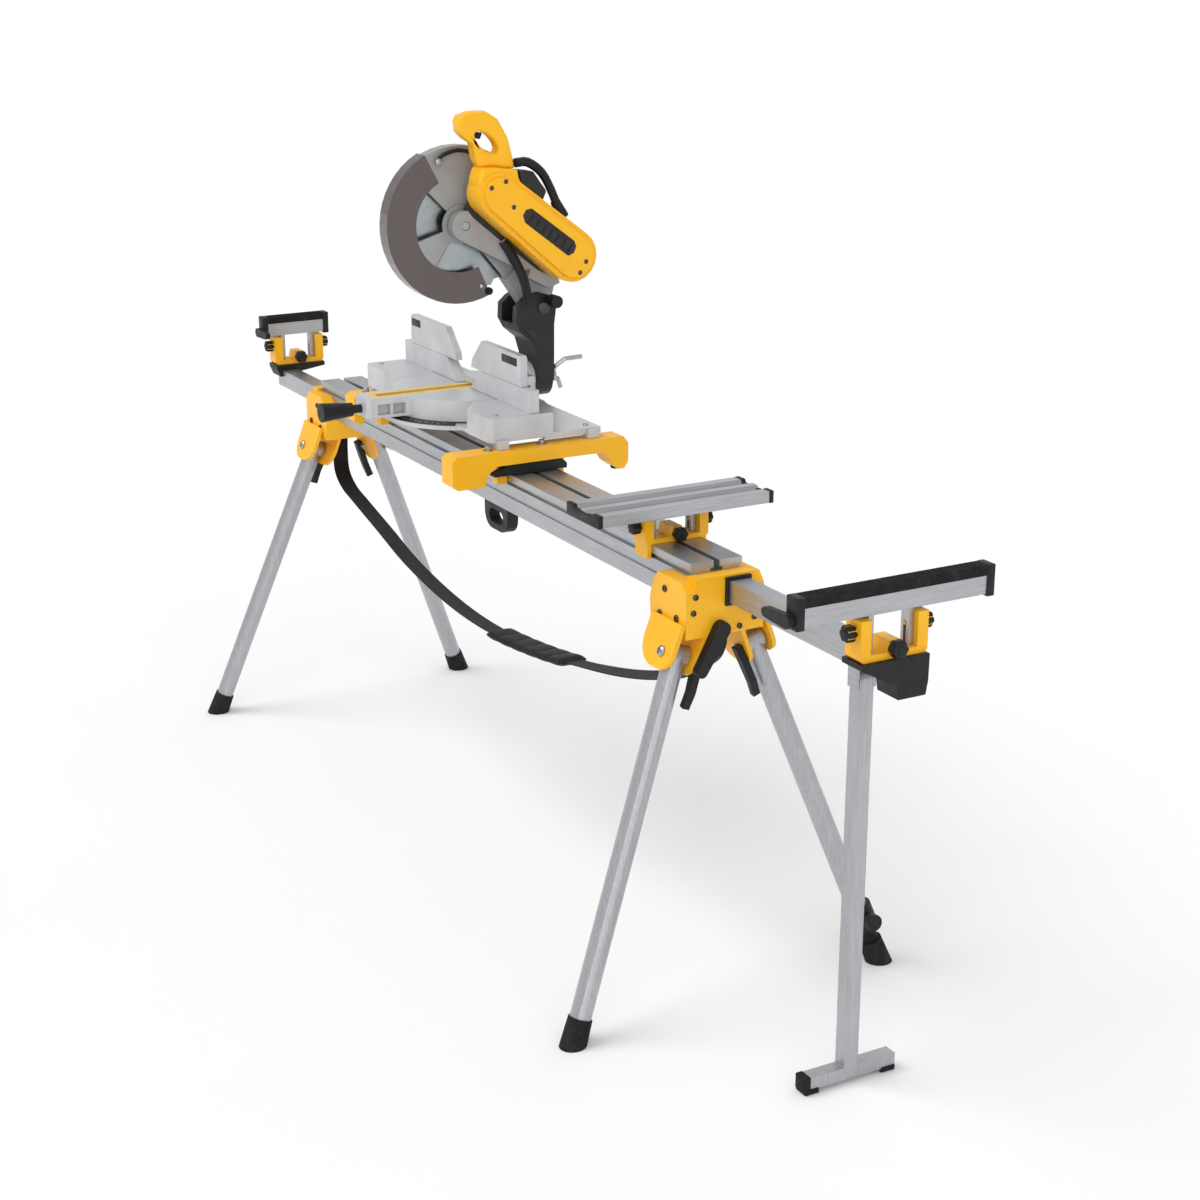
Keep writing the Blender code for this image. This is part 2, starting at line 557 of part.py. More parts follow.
# ---------------------------------------------------------------- saw mounts
def build_mount(side_name, end, front):
    """A rail across the beam that the saw is bolted to, and its lever, in the saw frame. front is its front face."""
    x, top, beam = end * RAIL_X, RAIL_TOP_Z - TABLE_Z, BEAM_TOP_Z + 0.0005 - TABLE_Z
    arch = 0.8385 - TABLE_Z
    low = 0.800 - TABLE_Z
    claw = 0.794 - TABLE_Z
    edge = BEAM_HALF_WIDTH + 0.001
    outline = [(front, low + 0.008), (front + 0.012, low), (-0.1145, low), (-0.108, low + 0.022), (-0.090, arch),
               (0.150, arch), (0.160, low + 0.030), (0.170, low + 0.012), (0.186, low), (0.200, low),
               (0.209, low + 0.014), (0.209, top - 0.014), (0.198, top), (front + 0.010, top), (front, top - 0.009)]
    rail = prism(outline, "x", x - RAIL_HALF, x + RAIL_HALF)
    inner, outer = sorted((x - end * RAIL_HALF, x - end * 0.001))
    saddle = box((inner, -0.074, beam), (outer, 0.074, arch + 0.002))
    claws = [box((inner, min(s * edge, s * 0.074), claw), (outer, max(s * edge, s * 0.074), beam + 0.002))
             for s in (-1, 1)]
    node("saw_mount_rail_" + side_name, combine([rail, saddle] + claws), "yellow_paint", (x, 0, top), "saw")
    low_x, high_x = sorted((x + end * 0.003, x + end * 0.023))
    lever = [(-0.092, beam + 0.006), (-0.060, arch - 0.002), (0.060, arch - 0.002), (0.069, beam + 0.012),
             (0.069, beam + 0.002), (-0.092, beam + 0.001)]
    pivot = (x + end * 0.013, 0.062, beam + 0.010)
    node("saw_mount_lever_" + side_name, prism(lever, "x", low_x, high_x), "black_plastic", pivot, "saw")


# ---------------------------------------------------------------- saw
def build_base():
    low, end = BASE_BOTTOM, BASE_HALF_LENGTH
    shapes = []
    for s in (-1, 1):
        wing = [(s * end, -0.084), (s * (end - 0.008), -0.092), (s * 0.205, -0.092), (s * 0.120, -0.030),
                (s * 0.120, 0.050), (s * end, 0.050)]
        shapes.append(prism(wing, "z", -0.050, -0.0005))
    shapes.append(rod((0, 0, -0.056), (0, 0, -0.047), 0.176, sides=40))
    shapes.append(box((-0.2, -0.08, -0.0555), (0.2, 0.06, -0.048)))
    shapes.append(box((-end, 0.03, -0.0550), (end, 0.157, -0.0425)))
    feet = [box((s * RAIL_X - 0.012, y - 0.012, low), (s * RAIL_X + 0.012, y + 0.012, -0.044))
            for s in (-1, 1) for y in (-0.066, 0.136)]
    recess = rod((0, 0, -0.0455), (0, 0, 0.02), TABLE_RADIUS + 0.0015, sides=48)
    hollows = [box((min(s * 0.196, s * 0.290), -0.070, -0.07), (max(s * 0.196, s * 0.290), 0.032, -0.014))
               for s in (-1, 1)]
    hollows.append(box((-end - 0.01, -0.0004, FENCE_SEAT), (end + 0.01, 0.06, 0.01)))
    body = combine(shapes, [recess] + hollows)
    node("saw_base", combine([body] + feet), "cast_aluminium", (0, 0, low), "saw")


def build_fences():
    shapes = []
    for s in (-1, 1):
        foot = FENCE_SEAT + 0.0003
        low = [(s * 0.030, 0.0003), (s * 0.083, FENCE_LOW), (s * 0.300, FENCE_LOW), (s * 0.300, foot),
               (s * 0.156, foot), (s * 0.156, 0.0003)]
        shapes.append(prism(low, "y", 0.0, 0.022))
        high = [(0.036, FENCE_LOW + 0.0005), (0.040, 0.062), (0.086, FENCE_TOP), (FENCE_END - 0.006, FENCE_TOP),
                (FENCE_END, FENCE_TOP - 0.006), (FENCE_END, FENCE_LOW + 0.0005)]
        plate = prism([(s * x, h) for x, h in high], "y", 0.0, 0.014)
        ends = sorted((s * 0.112, s * 0.262))
        shelf = box((ends[0], 0.008, FENCE_LOW + 0.002), (ends[1], 0.032, FENCE_LOW + 0.020))
        guide = box((ends[0], 0.0226, 0.012), (ends[1], 0.032, FENCE_LOW + 0.010))
        name = "fence_slide_right" if s > 0 else "fence_slide_left"
        node(name, combine([plate, shelf, guide]), "cast_aluminium", (s * FENCE_END, 0, FENCE_LOW), "saw")
    shapes.append(box((-0.105, 0.018, 0.0003), (0.105, 0.045, 0.015)))
    node("fence_fixed", combine(shapes), "cast_aluminium", (0, 0, 0), "saw")


def build_turntable():
    top = -0.0005
    disc = rod((0, 0, TABLE_BOTTOM), (0, 0, top), TABLE_RADIUS, sides=48)
    arm = [(-0.060, -0.100), (-ARM_HALF, -0.160), (-ARM_HALF + 0.006, -ARM_LENGTH + 0.008), (-0.026, -ARM_LENGTH),
           (0.026, -ARM_LENGTH), (ARM_HALF - 0.006, -ARM_LENGTH + 0.008), (ARM_HALF, -0.160), (0.060, -0.100)]
    front = prism(arm, "z", TABLE_BOTTOM + 0.004, top)
    rear = box((-0.036, 0.100, -0.036), (0.036, 0.150, top))
    flange = rod((0, 0.138, 0), (0, 0.1510, 0), 0.0365)
    seat = box((-0.025, -0.215, -0.006), (0.025, 0.095, 0.01))
    slot = box((-0.015, -0.200, -0.022), (0.015, 0.085, 0.0))
    pockets = [box((min(s * 0.025, s * 0.06), y, -0.034), (max(s * 0.025, s * 0.06), y + 0.026, -0.012))
               for s in (-1, 1) for y in (-0.212, -0.180)]
    body = combine([disc, front, rear, flange], [seat, slot] + pockets)
    node("turntable", body, "cast_aluminium", (0, 0, 0), "saw")
    plate = box((-0.0247, -0.2147, -0.0057), (0.0247, 0.0947, top))
    gap = box((-0.010, -0.200, -0.02), (0.010, 0.082, 0.01))
    node("kerf_plate", combine([plate], [gap]), "yellow_paint", (0, 0, 0), "saw")
    height = -0.024
    stem = rod((0, -ARM_LENGTH - GAP, height), (0, -ARM_LENGTH - 0.024, height), 0.009, sides=16)
    grip = rod((0, -ARM_LENGTH - 0.020, height), (0, -ARM_LENGTH - 0.088, height), 0.014, 0.020, sides=16)
    node("mitre_lock_handle", combine([stem, grip]), "black_plastic", (0, -ARM_LENGTH, height), "saw")


def build_bevel_post():
    y, h = CHOP_PIVOT
    hub = rod((0, 0.1515, 0), (0, 0.191, 0), 0.0385)
    column = [(0.1515, 0.0), (0.190, 0.0), (0.191, 0.120), (y + 0.030, h), (y + 0.020, h + 0.024), (0.160, 0.187),
              (0.136, 0.182), (0.120, 0.174), (0.104, 0.160), (0.102, 0.128), (0.114, 0.106), (0.142, 0.082),
              (0.1515, 0.050)]
    body = prism(column, "x", -0.045, 0.045)
    pin = rod((-0.044, y, h), (0.044, y, h), 0.007, sides=16)
    gap = box((-0.0255, 0.05, 0.124), (0.0255, 0.24, 0.22))
    forked = combine([hub, body], [gap])
    node("bevel_post", combine([forked, pin]), "black_plastic", (0, 0.19, 0), "saw")
    boss = rod((0, 0.1915, 0), (0, 0.212, 0), 0.014, sides=16)
    up = bent_rod([(0, 0.203, 0), (0.004, 0.216, 0.020), (0.008, 0.236, 0.034), (0.012, 0.274, 0.036)], 0.005)
    down = bent_rod([(0, 0.204, 0), (-0.004, 0.224, -0.010), (-0.006, 0.232, -0.030)], 0.005)
    node("bevel_lock_lever", combine([boss, up, down]), "steel", (0, 0.1915, 0), "saw")
    x = 0.0456
    pin_at = (0.180, 0.172)
    shaft = rod((x, *pin_at), (x + 0.012, *pin_at), 0.006, sides=16)
    knob = rod((x + 0.010, *pin_at), (x + 0.036, *pin_at), 0.013, sides=16)
    node("head_lock_pin", combine([shaft, knob]), "black_plastic", (x, *pin_at), "saw")


def build_head_arm():
    y, h = CHOP_PIVOT
    start, end, outer = UPPER_GUARD_START, UPPER_GUARD_END, UPPER_GUARD_RADIUS
    rim = prism(sector(ARBOR, outer - 0.0028, outer, start, end, 20), "x", -0.0165, 0.0150)
    left = prism(sector(ARBOR, 0.075, outer - 0.001, start, end, 20), "x", -0.0165, -0.0140)
    right = prism(sector(ARBOR, 0.030, outer - 0.001, start, end, 20), "x", 0.0125, 0.0150)
    inside = arc(ARBOR, outer - 0.002, -50, -8, 6)
    arm = inside + [(0.172, 0.290), (0.204, 0.200), (y + 0.026, h), (y + 0.018, h - 0.018), (y, h - 0.026),
                    (y - 0.020, h - 0.015), (y - 0.032, h)]
    block = prism(arm, "x", -0.0165, 0.022)
    lug = rod((-0.0248, y, h), (0.0248, y, h), 0.026)
    bridge = prism([(0.130, 0.222), (0.156, 0.300), (0.182, 0.300), (0.204, 0.205), (0.178, 0.196)], "x",
                   0.0185, HOUSING_LEFT - 0.0005)
    duct = bent_rod([(0.048, 0.070, 0.304), (0.053, 0.089, 0.273), (0.056, 0.107, 0.237), (0.0565, 0.120, 0.200),
                     (0.0565, 0.123, 0.172)], 0.0088)
    gearbox = prism(capsule(ARBOR, 0.031, (0.124, 0.276), 0.038), "x", 0.0245, HOUSING_LEFT - 0.0005)
    bore = rod((-0.05, y, h), (0.05, y, h), 0.0078, sides=16)
    arbor_bore = rod((0.01, *ARBOR), (0.06, *ARBOR), 0.0092, sides=16)
    body = combine([rim, left, right, block, lug, bridge, gearbox, duct], [bore, arbor_bore], "MANIFOLD")
    node("head_arm", body, "cast_aluminium", (0, y, h), "saw")


def build_motor():
    y, h = MOTOR_AXIS
    left, right = HOUSING_LEFT, HOUSING_RIGHT
    outline = capsule(HOUSING_TOP, HOUSING_TOP_RADIUS, MOTOR_AXIS, MOTOR_RADIUS)
    raised = capsule(HOUSING_TOP, HOUSING_TOP_RADIUS - 0.010, MOTOR_AXIS, MOTOR_RADIUS - 0.010)
    room = rod((left + 0.006, y, h), (right - 0.008, y, h), MOTOR_RADIUS - 0.012)
    shaft_hole = rod((left - 0.01, y, h), (left + 0.02, y, h), 0.009, sides=12)
    shell = [prism(outline, "x", left, right - 0.010), prism(raised, "x", right - 0.011, right)]
    node("motor_housing", combine(shell, [room, shaft_hole], "MANIFOLD"), "yellow_plastic", (left, y, h), "saw")
    core = rod((left + 0.018, y, h), (right - 0.022, y, h), 0.030, sides=16)
    shaft = rod((left + 0.002, y, h), (right - 0.010, y, h), 0.006, sides=12)
    node("motor_rotor", combine([core, shaft]), "copper", (left, y, h), "saw")


def build_handles():
    outline = [(-0.040, 0.549), (-0.034, 0.561), (-0.010, 0.568), (0.022, 0.568), (0.048, 0.552), (0.070, 0.514),
               (0.081, 0.474), (0.084, 0.4525), (0.060, 0.4535), (0.036, 0.4580), (0.006, 0.4580), (-0.002, 0.474),
               (-0.008, 0.506), (-0.024, 0.516), (-0.037, 0.528)]
    angles = [math.radians(24 * i) for i in range(15)]
    hole = [(0.022 + 0.024 * math.cos(t) + 0.009 * math.sin(t), 0.507 - 0.020 * math.cos(t) + 0.011 * math.sin(t))
            for t in angles]
    grip = combine([prism(outline, "x", 0.048, 0.084)], [prism(hole, "x", 0.03, 0.10)])
    node("main_handle", grip, "yellow_plastic", (0.066, 0.032, 0.460), "saw")
    trigger = [(0.0035, 0.5205), (0.0085, 0.5265), (0.0155, 0.5255), (0.0135, 0.5195), (0.0105, 0.5130),
               (0.0055, 0.5145)]
    node("trigger", prism(trigger, "x", 0.058, 0.074), "black_plastic", (0.066, 0.0085, 0.524), "saw")
    route = smooth_path([(0.080, 0.0852, 0.463), (0.080, 0.114, 0.463), (0.080, 0.146, 0.440), (0.080, 0.168, 0.402),
                         (0.080, 0.1840, 0.3640)], 3)
    node("carry_handle", bent_rod(route, 0.0095), "black_plastic", (0.080, 0.15, 0.41), "saw")


def build_lower_guard():
    start, end, r = LOWER_GUARD_START, LOWER_GUARD_END, LOWER_GUARD_RADIUS
    rim = prism(sector(ARBOR, r - 0.0028, r, start, end, 24), "x", -0.0200, 0.0180)
    shapes = [rim]
    for low, high in ((-0.0200, -0.0175), (0.0155, 0.0180)):
        band = prism(sector(ARBOR, 0.098, r - 0.001, start, end, 24), "x", low, high)
        spoke = prism(sector(ARBOR, 0.036, 0.100, 196, 236, 4), "x", low, high)
        ring = prism(arc(ARBOR, 0.040, 0, 345, 23), "x", low, high)
        shapes += [band, spoke, ring]
    holes = [rod((-0.03, *ARBOR), (0.03, *ARBOR), 0.027)]
    node("lower_guard", combine(shapes, holes, "MANIFOLD"), "smoked_plastic", (0, *ARBOR), "saw")


def build_blade():
    teeth = 36
    tips = arc(ARBOR, BLADE_RADIUS, 0, 360, teeth)[:-1]
    gullets = arc(ARBOR, BLADE_RADIUS - 0.007, 4, 364, teeth)[:-1]
    outline = [point for pair in zip(tips, gullets) for point in pair]
    disc = prism(outline, "x", -BLADE_HALF, BLADE_HALF)
    flanges = rod((-0.006, *ARBOR), (0.006, *ARBOR), 0.0225)
    shaft = rod((-0.013, *ARBOR), (0.0440, *ARBOR), 0.0082, sides=16)
    node("blade", combine([disc, flanges, shaft]), "steel", (0, *ARBOR), "saw")


def build_saw():
    build_mount("right", 1, -0.184)
    build_mount("left", -1, -0.135)
    build_base()
    build_fences()
    build_turntable()
    build_bevel_post()
    build_head_arm()
    build_motor()
    build_handles()
    build_lower_guard()
    build_blade()


clear_scene()
MATERIALS = make_materials()
FRAMES = {
    "stand": make_frame("stand_frame", (STAND_X, STAND_Y, 0)),
    "saw": make_frame("saw_frame", (STAND_X + SAW_X, STAND_Y, TABLE_Z)),
}
build_stand()
build_saw()
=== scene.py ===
"""Looks of the mitre saw on its folding beam stand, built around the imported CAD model.

Everything is in metres in the row frame: +X runs along the beam to the operator's right and +Z is up.
Stand pieces are placed from the middle of the beam, saw pieces from the mitre pivot on the table top.
"""

import math

import bmesh
import bpy
from mathutils import Matrix, Vector


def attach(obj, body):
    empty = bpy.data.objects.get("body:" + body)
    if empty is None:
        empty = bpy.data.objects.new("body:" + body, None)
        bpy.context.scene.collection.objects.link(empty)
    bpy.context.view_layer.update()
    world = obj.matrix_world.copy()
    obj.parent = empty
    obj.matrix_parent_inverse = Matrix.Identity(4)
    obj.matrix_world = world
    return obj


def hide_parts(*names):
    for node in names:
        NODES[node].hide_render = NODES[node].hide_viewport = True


# ---------------------------------------------------------------- frame and driving numbers
STAND = Vector((-0.1070, 0.0, 0.0))
SAW = STAND + Vector((-0.160, 0.0, 0.930))

CHOP_PIVOT = (0.166, 0.155)
ARBOR = (-0.010, 0.338)
HOUSING_LEFT, HOUSING_RIGHT = 0.046, 0.118
LEG_PIVOT = (0.84, 0.078, 0.655)
LEG_FOOT = (0.922, 0.326, 0.0)
HUB_FACE_Y, HUB_END_X = 0.079, 0.875
TUBE_Y, TUBE_Z, TUBE_HALF = 0.0245, 0.767, 0.020
RIGHT_SUPPORT_X, LEFT_SUPPORT_X, WIDE_SUPPORT_X, TEE_X = 1.347, 1.145, 0.690, 1.244

CAMERA_PLACE = STAND + Vector((3.81971, -1.87542, 1.89277))
CAMERA_YAW, CAMERA_PITCH = 0.505266, 0.316550
CAMERA_LENS, CAMERA_SENSOR = 63.886, 36.0

STRAP_ROUTE = [(-0.861, 0.6893), (-0.868, 0.640), (-0.862, 0.585), (-0.820, 0.553), (-0.756, 0.535),
               (-0.609, 0.498), (-0.469, 0.462), (-0.308, 0.436), (-0.154, 0.424), (0.000, 0.426), (0.177, 0.443), (0.340, 0.468),
               (0.508, 0.502), (0.640, 0.538), (0.760, 0.580), (0.830, 0.620), (0.856, 0.655), (0.861, 0.6893)]
STRAP_HALF_WIDTH, STRAP_HALF_THICK = 0.019, 0.0014
STRAP_TWIST = math.radians(16)
PAD_START_X, PAD_END_X = -0.025, 0.340
PAD_HALF_WIDTH, PAD_HALF_THICK = 0.030, 0.0088

SKY_STRENGTH = 0.60
LAMPS = [("key", (0.35, 0.80, -1.20), 1.30, 40), ("fill", (-0.85, 0.35, -0.45), 0.80, 60),
         ("rim", (0.6, -0.8, -0.7), 0.25, 60)]

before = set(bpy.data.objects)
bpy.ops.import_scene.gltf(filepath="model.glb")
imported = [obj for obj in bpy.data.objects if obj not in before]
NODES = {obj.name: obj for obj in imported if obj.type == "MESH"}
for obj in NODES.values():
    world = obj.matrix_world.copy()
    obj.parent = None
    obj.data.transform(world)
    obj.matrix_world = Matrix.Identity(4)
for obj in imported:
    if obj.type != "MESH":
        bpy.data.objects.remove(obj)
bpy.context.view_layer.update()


# ---------------------------------------------------------------- node helpers
def start(name, colour, roughness, metallic=0.0, **sockets):
    """A new material whose shader has these constants on its own sockets."""
    surface = bpy.data.materials.new(name)
    surface.use_nodes = True
    shader = surface.node_tree.nodes["Principled BSDF"]
    shader.inputs["Base Color"].default_value = (*colour, 1)
    shader.inputs["Roughness"].default_value = roughness
    shader.inputs["Metallic"].default_value = metallic
    for key, value in sockets.items():
        shader.inputs[key.replace("_", " ")].default_value = value
    return surface


def add(surface, kind, inputs, **settings):
    """A node with its settings and inputs. An input is a constant or another node's output."""
    made = surface.node_tree.nodes.new(kind)
    for key, value in settings.items():
        setattr(made, key, value)
    for key, value in inputs.items():
        if isinstance(value, bpy.types.NodeSocket):
            surface.node_tree.links.new(value, made.inputs[key])
        else:
            made.inputs[key].default_value = value
    return made


def feed(surface, socket, value):
    shader = surface.node_tree.nodes["Principled BSDF"]
    surface.node_tree.links.new(value, shader.inputs[socket])


def coordinates(surface, stretch=(1, 1, 1), offset=(0, 0, 0), turn=(0, 0, 0)):
    place = add(surface, "ShaderNodeTexCoord", {}).outputs["Object"]
    shifted = add(surface, "ShaderNodeVectorMath", {0: place, 1: offset}, operation="SUBTRACT").outputs["Vector"]
    inputs = {"Vector": shifted, "Rotation": turn, "Scale": stretch}
    return add(surface, "ShaderNodeMapping", inputs).outputs["Vector"]


def noise(surface, scale, stretch=(1, 1, 1), detail=3.0, turn=(0, 0, 0)):
    vector = coordinates(surface, stretch, turn=turn)
    return add(surface, "ShaderNodeTexNoise", {"Vector": vector, "Scale": scale, "Detail": detail}).outputs["Fac"]


def spread(surface, value, low, high, start_at=0.3, end_at=0.7):
    """The value moved from one range to another, and clamped."""
    inputs = {"Value": value, "From Min": start_at, "From Max": end_at, "To Min": low, "To Max": high}
    return add(surface, "ShaderNodeMapRange", inputs).outputs["Result"]


def mix(surface, factor, first, second):
    inputs = {0: factor}
    for slot_number, colour in ((6, first), (7, second)):
        inputs[slot_number] = colour if isinstance(colour, bpy.types.NodeSocket) else (*colour, 1)
    return add(surface, "ShaderNodeMix", inputs, data_type="RGBA").outputs[2]


def product(surface, first, second, operation="MULTIPLY"):
    return add(surface, "ShaderNodeMath", {0: first, 1: second}, operation=operation).outputs[0]


def facing(surface, axis):
    """The surface normal's share along an axis."""
    normal = add(surface, "ShaderNodeNewGeometry", {}).outputs["Normal"]
    return add(surface, "ShaderNodeSeparateXYZ", {0: normal}).outputs[axis]


def rounded_normal(surface, radius):
    return add(surface, "ShaderNodeBevel", {"Radius": radius}, samples=3).outputs["Normal"]


def edges(surface, radius):
    """1 along the shape's sharp edges and 0 on its faces."""
    flat = add(surface, "ShaderNodeNewGeometry", {}).outputs["Normal"]
    inputs = {0: rounded_normal(surface, radius), 1: flat}
    agree = add(surface, "ShaderNodeVectorMath", inputs, operation="DOT_PRODUCT").outputs["Value"]
    return spread(surface, agree, 1.0, 0.0, 0.90, 0.998)


def relief(surface, height, strength, distance, radius=0.0012):
    """Feeds the shader a bumped normal, on edges that look rounded to the radius."""
    inputs = {"Height": height, "Strength": strength, "Distance": distance}
    if radius:
        inputs["Normal"] = rounded_normal(surface, radius)
    feed(surface, "Normal", add(surface, "ShaderNodeBump", inputs).outputs["Normal"])


# ---------------------------------------------------------------- materials
def yellow_paint():
    """Powder coat with a faint orange-peel texture, dusty hollows and edges rubbed lighter."""
    surface = start("yellow_paint", (0.95, 0.48, 0.007), 0.38, Coat_Weight=0.08, Coat_Roughness=0.2,
                    Specular_IOR_Level=0.35)
    tone = mix(surface, spread(surface, noise(surface, 9), 0.0, 1.0), (0.97, 0.50, 0.007), (0.92, 0.45, 0.006))
    worn = product(surface, edges(surface, 0.0016), spread(surface, noise(surface, 60), 0.0, 0.8, 0.45, 0.7))
    feed(surface, "Base Color", mix(surface, worn, tone, (0.96, 0.66, 0.20)))
    feed(surface, "Roughness", spread(surface, noise(surface, 28), 0.30, 0.46))
    relief(surface, noise(surface, 620, detail=2.0), 0.25, 0.0003, 0.0018)
    return surface


def yellow_plastic():
    """Glossy moulded plastic, smoother than the paint, with soft swirls."""
    surface = start("yellow_plastic", (0.97, 0.50, 0.007), 0.32, Coat_Weight=0.10, Coat_Roughness=0.15,
                    Specular_IOR_Level=0.35)
    tone = mix(surface, spread(surface, noise(surface, 6), 0.0, 1.0), (0.98, 0.51, 0.007), (0.94, 0.46, 0.006))
    feed(surface, "Base Color", tone)
    feed(surface, "Roughness", spread(surface, noise(surface, 40), 0.24, 0.40))
    relief(surface, noise(surface, 1400, detail=1.0), 0.12, 0.0002, 0.0025)
    return surface


def drawn_aluminium(name, stretch, turn=(0, 0, 0)):
    """Extruded, anodised aluminium with fine draw lines along its length and a few scuffs."""
    surface = start(name, (0.60, 0.61, 0.63), 0.36, 0.85)
    lines = noise(surface, 14, stretch, detail=5.0, turn=turn)
    cloud = noise(surface, 5)
    tone = mix(surface, spread(surface, lines, 0.0, 1.0), (0.39, 0.40, 0.420), (0.49, 0.50, 0.525))
    scuff = product(surface, spread(surface, noise(surface, 45, detail=6.0), 0.0, 1.0, 0.60, 0.72), 0.15)
    feed(surface, "Base Color", mix(surface, scuff, tone, (0.36, 0.36, 0.38)))
    feed(surface, "Roughness", spread(surface, cloud, 0.30, 0.46))
    relief(surface, lines, 0.10, 0.0004, 0.0010)
    return surface


CAST_TONES = [(0.50, 0.51, 0.525), (0.60, 0.61, 0.625), (0.68, 0.69, 0.705)]


def cast_aluminium(name="cast_aluminium", shade=1.0):
    """Painted light-grey casting: grainy sides, machined tops with fine tool marks."""
    # A shade below 1 makes a darker copy of this casting, with painted shade in its colour.
    surface = start(name, (0.56 * shade, 0.57 * shade, 0.58 * shade), 0.48, 0.25)
    top = spread(surface, facing(surface, "Z"), 0.0, 1.0, 0.90, 0.97)
    grain = noise(surface, 420, detail=4.0)
    marks = noise(surface, 24, (50, 1.5, 1), detail=4.0)
    dark, middle, light = [tuple(shade * part for part in tone) for tone in CAST_TONES]
    cast_tone = mix(surface, spread(surface, noise(surface, 18), 0.0, 1.0), dark, middle)
    cut_tone = mix(surface, spread(surface, marks, 0.0, 1.0), middle, light)
    feed(surface, "Base Color", mix(surface, top, cast_tone, cut_tone))
    feed(surface, "Metallic", spread(surface, top, 0.15, 0.55, 0.0, 1.0))
    feed(surface, "Roughness", spread(surface, top, 0.52, 0.32, 0.0, 1.0))
    height = mix(surface, top, grain, marks)
    relief(surface, height, 0.22, 0.0005, 0.0016)
    return surface


def moulded_black(name="black_plastic", colour=(0.0075, 0.0075, 0.0082), roughness=(0.42, 0.60)):
    """Fine-grained black plastic with a little dust on what faces up."""
    surface = start(name, colour, 0.5, Specular_IOR_Level=0.35)
    dust = product(surface, spread(surface, facing(surface, "Z"), 0.0, 1.0, 0.3, 1.0), 0.30)
    light = tuple(3.4 * part for part in colour)
    dusty = product(surface, dust, spread(surface, noise(surface, 30, detail=5.0), 0.3, 1.0))
    feed(surface, "Base Color", mix(surface, dusty, colour, light))
    feed(surface, "Roughness", spread(surface, noise(surface, 55), *roughness))
    relief(surface, noise(surface, 900, detail=2.0), 0.30, 0.0003, 0.0012)
    return surface


def black_paint():
    """Satin black paint over a casting: softer grain, edges rubbed to grey metal."""
    surface = start("black_paint", (0.010, 0.010, 0.0115), 0.42, Specular_IOR_Level=0.4)
    worn = product(surface, edges(surface, 0.0014), spread(surface, noise(surface, 70), 0.0, 0.55, 0.50, 0.70))
    feed(surface, "Base Color", mix(surface, worn, (0.010, 0.010, 0.0115), (0.16, 0.16, 0.17)))
    feed(surface, "Roughness", spread(surface, noise(surface, 30), 0.36, 0.52))
    relief(surface, noise(surface, 260, detail=4.0), 0.25, 0.0005, 0.0018)
    return surface


def black_rubber():
    surface = start("black_rubber", (0.008, 0.008, 0.008), 0.78, Specular_IOR_Level=0.3)
    scuff = spread(surface, noise(surface, 70, detail=6.0), 0.0, 0.5, 0.52, 0.75)
    feed(surface, "Base Color", mix(surface, scuff, (0.008, 0.008, 0.008), (0.036, 0.035, 0.034)))
    feed(surface, "Roughness", spread(surface, noise(surface, 40), 0.68, 0.88))
    relief(surface, noise(surface, 700, detail=3.0), 0.40, 0.0004, 0.0015)
    return surface


def webbing():
    """Woven polyester: ribs across the strap, crossed by finer warp threads."""
    surface = start("black_webbing", (0.008, 0.008, 0.009), 0.85, Sheen_Weight=0.10, Sheen_Roughness=0.5,
                    Specular_IOR_Level=0.25)
    across = add(surface, "ShaderNodeTexWave", {"Vector": coordinates(surface), "Scale": 95.0, "Distortion": 0.3},
                 bands_direction="X").outputs["Fac"]
    along = add(surface, "ShaderNodeTexWave", {"Vector": coordinates(surface), "Scale": 150.0, "Distortion": 0.2},
                bands_direction="Y").outputs["Fac"]
    weave = product(surface, across, along)
    feed(surface, "Base Color", mix(surface, weave, (0.005, 0.005, 0.0055), (0.018, 0.018, 0.020)))
    feed(surface, "Roughness", spread(surface, noise(surface, 60), 0.78, 0.92))
    relief(surface, weave, 0.55, 0.0006, 0)
    return surface


def pad_fabric():
    """Tight ripstop cloth over foam."""
    surface = start("pad_fabric", (0.009, 0.009, 0.010), 0.80, Sheen_Weight=0.10, Sheen_Roughness=0.4,
                    Specular_IOR_Level=0.25)
    threads = add(surface, "ShaderNodeTexVoronoi", {"Vector": coordinates(surface, (1, 1, 0.4)), "Scale": 900.0},
                  distance="CHEBYCHEV").outputs["Distance"]
    feed(surface, "Base Color", mix(surface, spread(surface, threads, 0.0, 1.0, 0.1, 0.6), (0.014, 0.014, 0.015),
                                    (0.006, 0.006, 0.0065)))
    feed(surface, "Roughness", spread(surface, noise(surface, 50), 0.72, 0.90))
    relief(surface, threads, 0.35, 0.0004, 0)
    return surface


def turned_steel(name, centre, colour=(0.60, 0.61, 0.63), direction="X"):
    """Steel with fine rings round an axis through the centre."""
    surface = start(name, colour, 0.30, 1.0)
    rings = add(surface, "ShaderNodeTexWave",
                {"Vector": coordinates(surface, offset=centre), "Scale": 160.0, "Distortion": 1.5, "Detail": 3.0},
                wave_type="RINGS", rings_direction=direction).outputs["Fac"]
    darker = tuple(0.72 * part for part in colour)
    feed(surface, "Base Color", mix(surface, rings, darker, colour))
    feed(surface, "Roughness", spread(surface, noise(surface, 20), 0.20, 0.38))
    relief(surface, rings, 0.12, 0.0002, 0.0006)
    return surface


def kerf_plastic():
    """The pale yellow insert that the blade cuts into, with scuffs from sawdust."""
    surface = start("kerf_plastic", (0.82, 0.55, 0.13), 0.45)
    tone = mix(surface, spread(surface, noise(surface, 30), 0.0, 1.0), (0.84, 0.57, 0.13), (0.74, 0.47, 0.10))
    feed(surface, "Base Color", tone)
    feed(surface, "Roughness", spread(surface, noise(surface, 60), 0.38, 0.55))
    relief(surface, noise(surface, 800, detail=2.0), 0.15, 0.0002, 0.0008)
    return surface


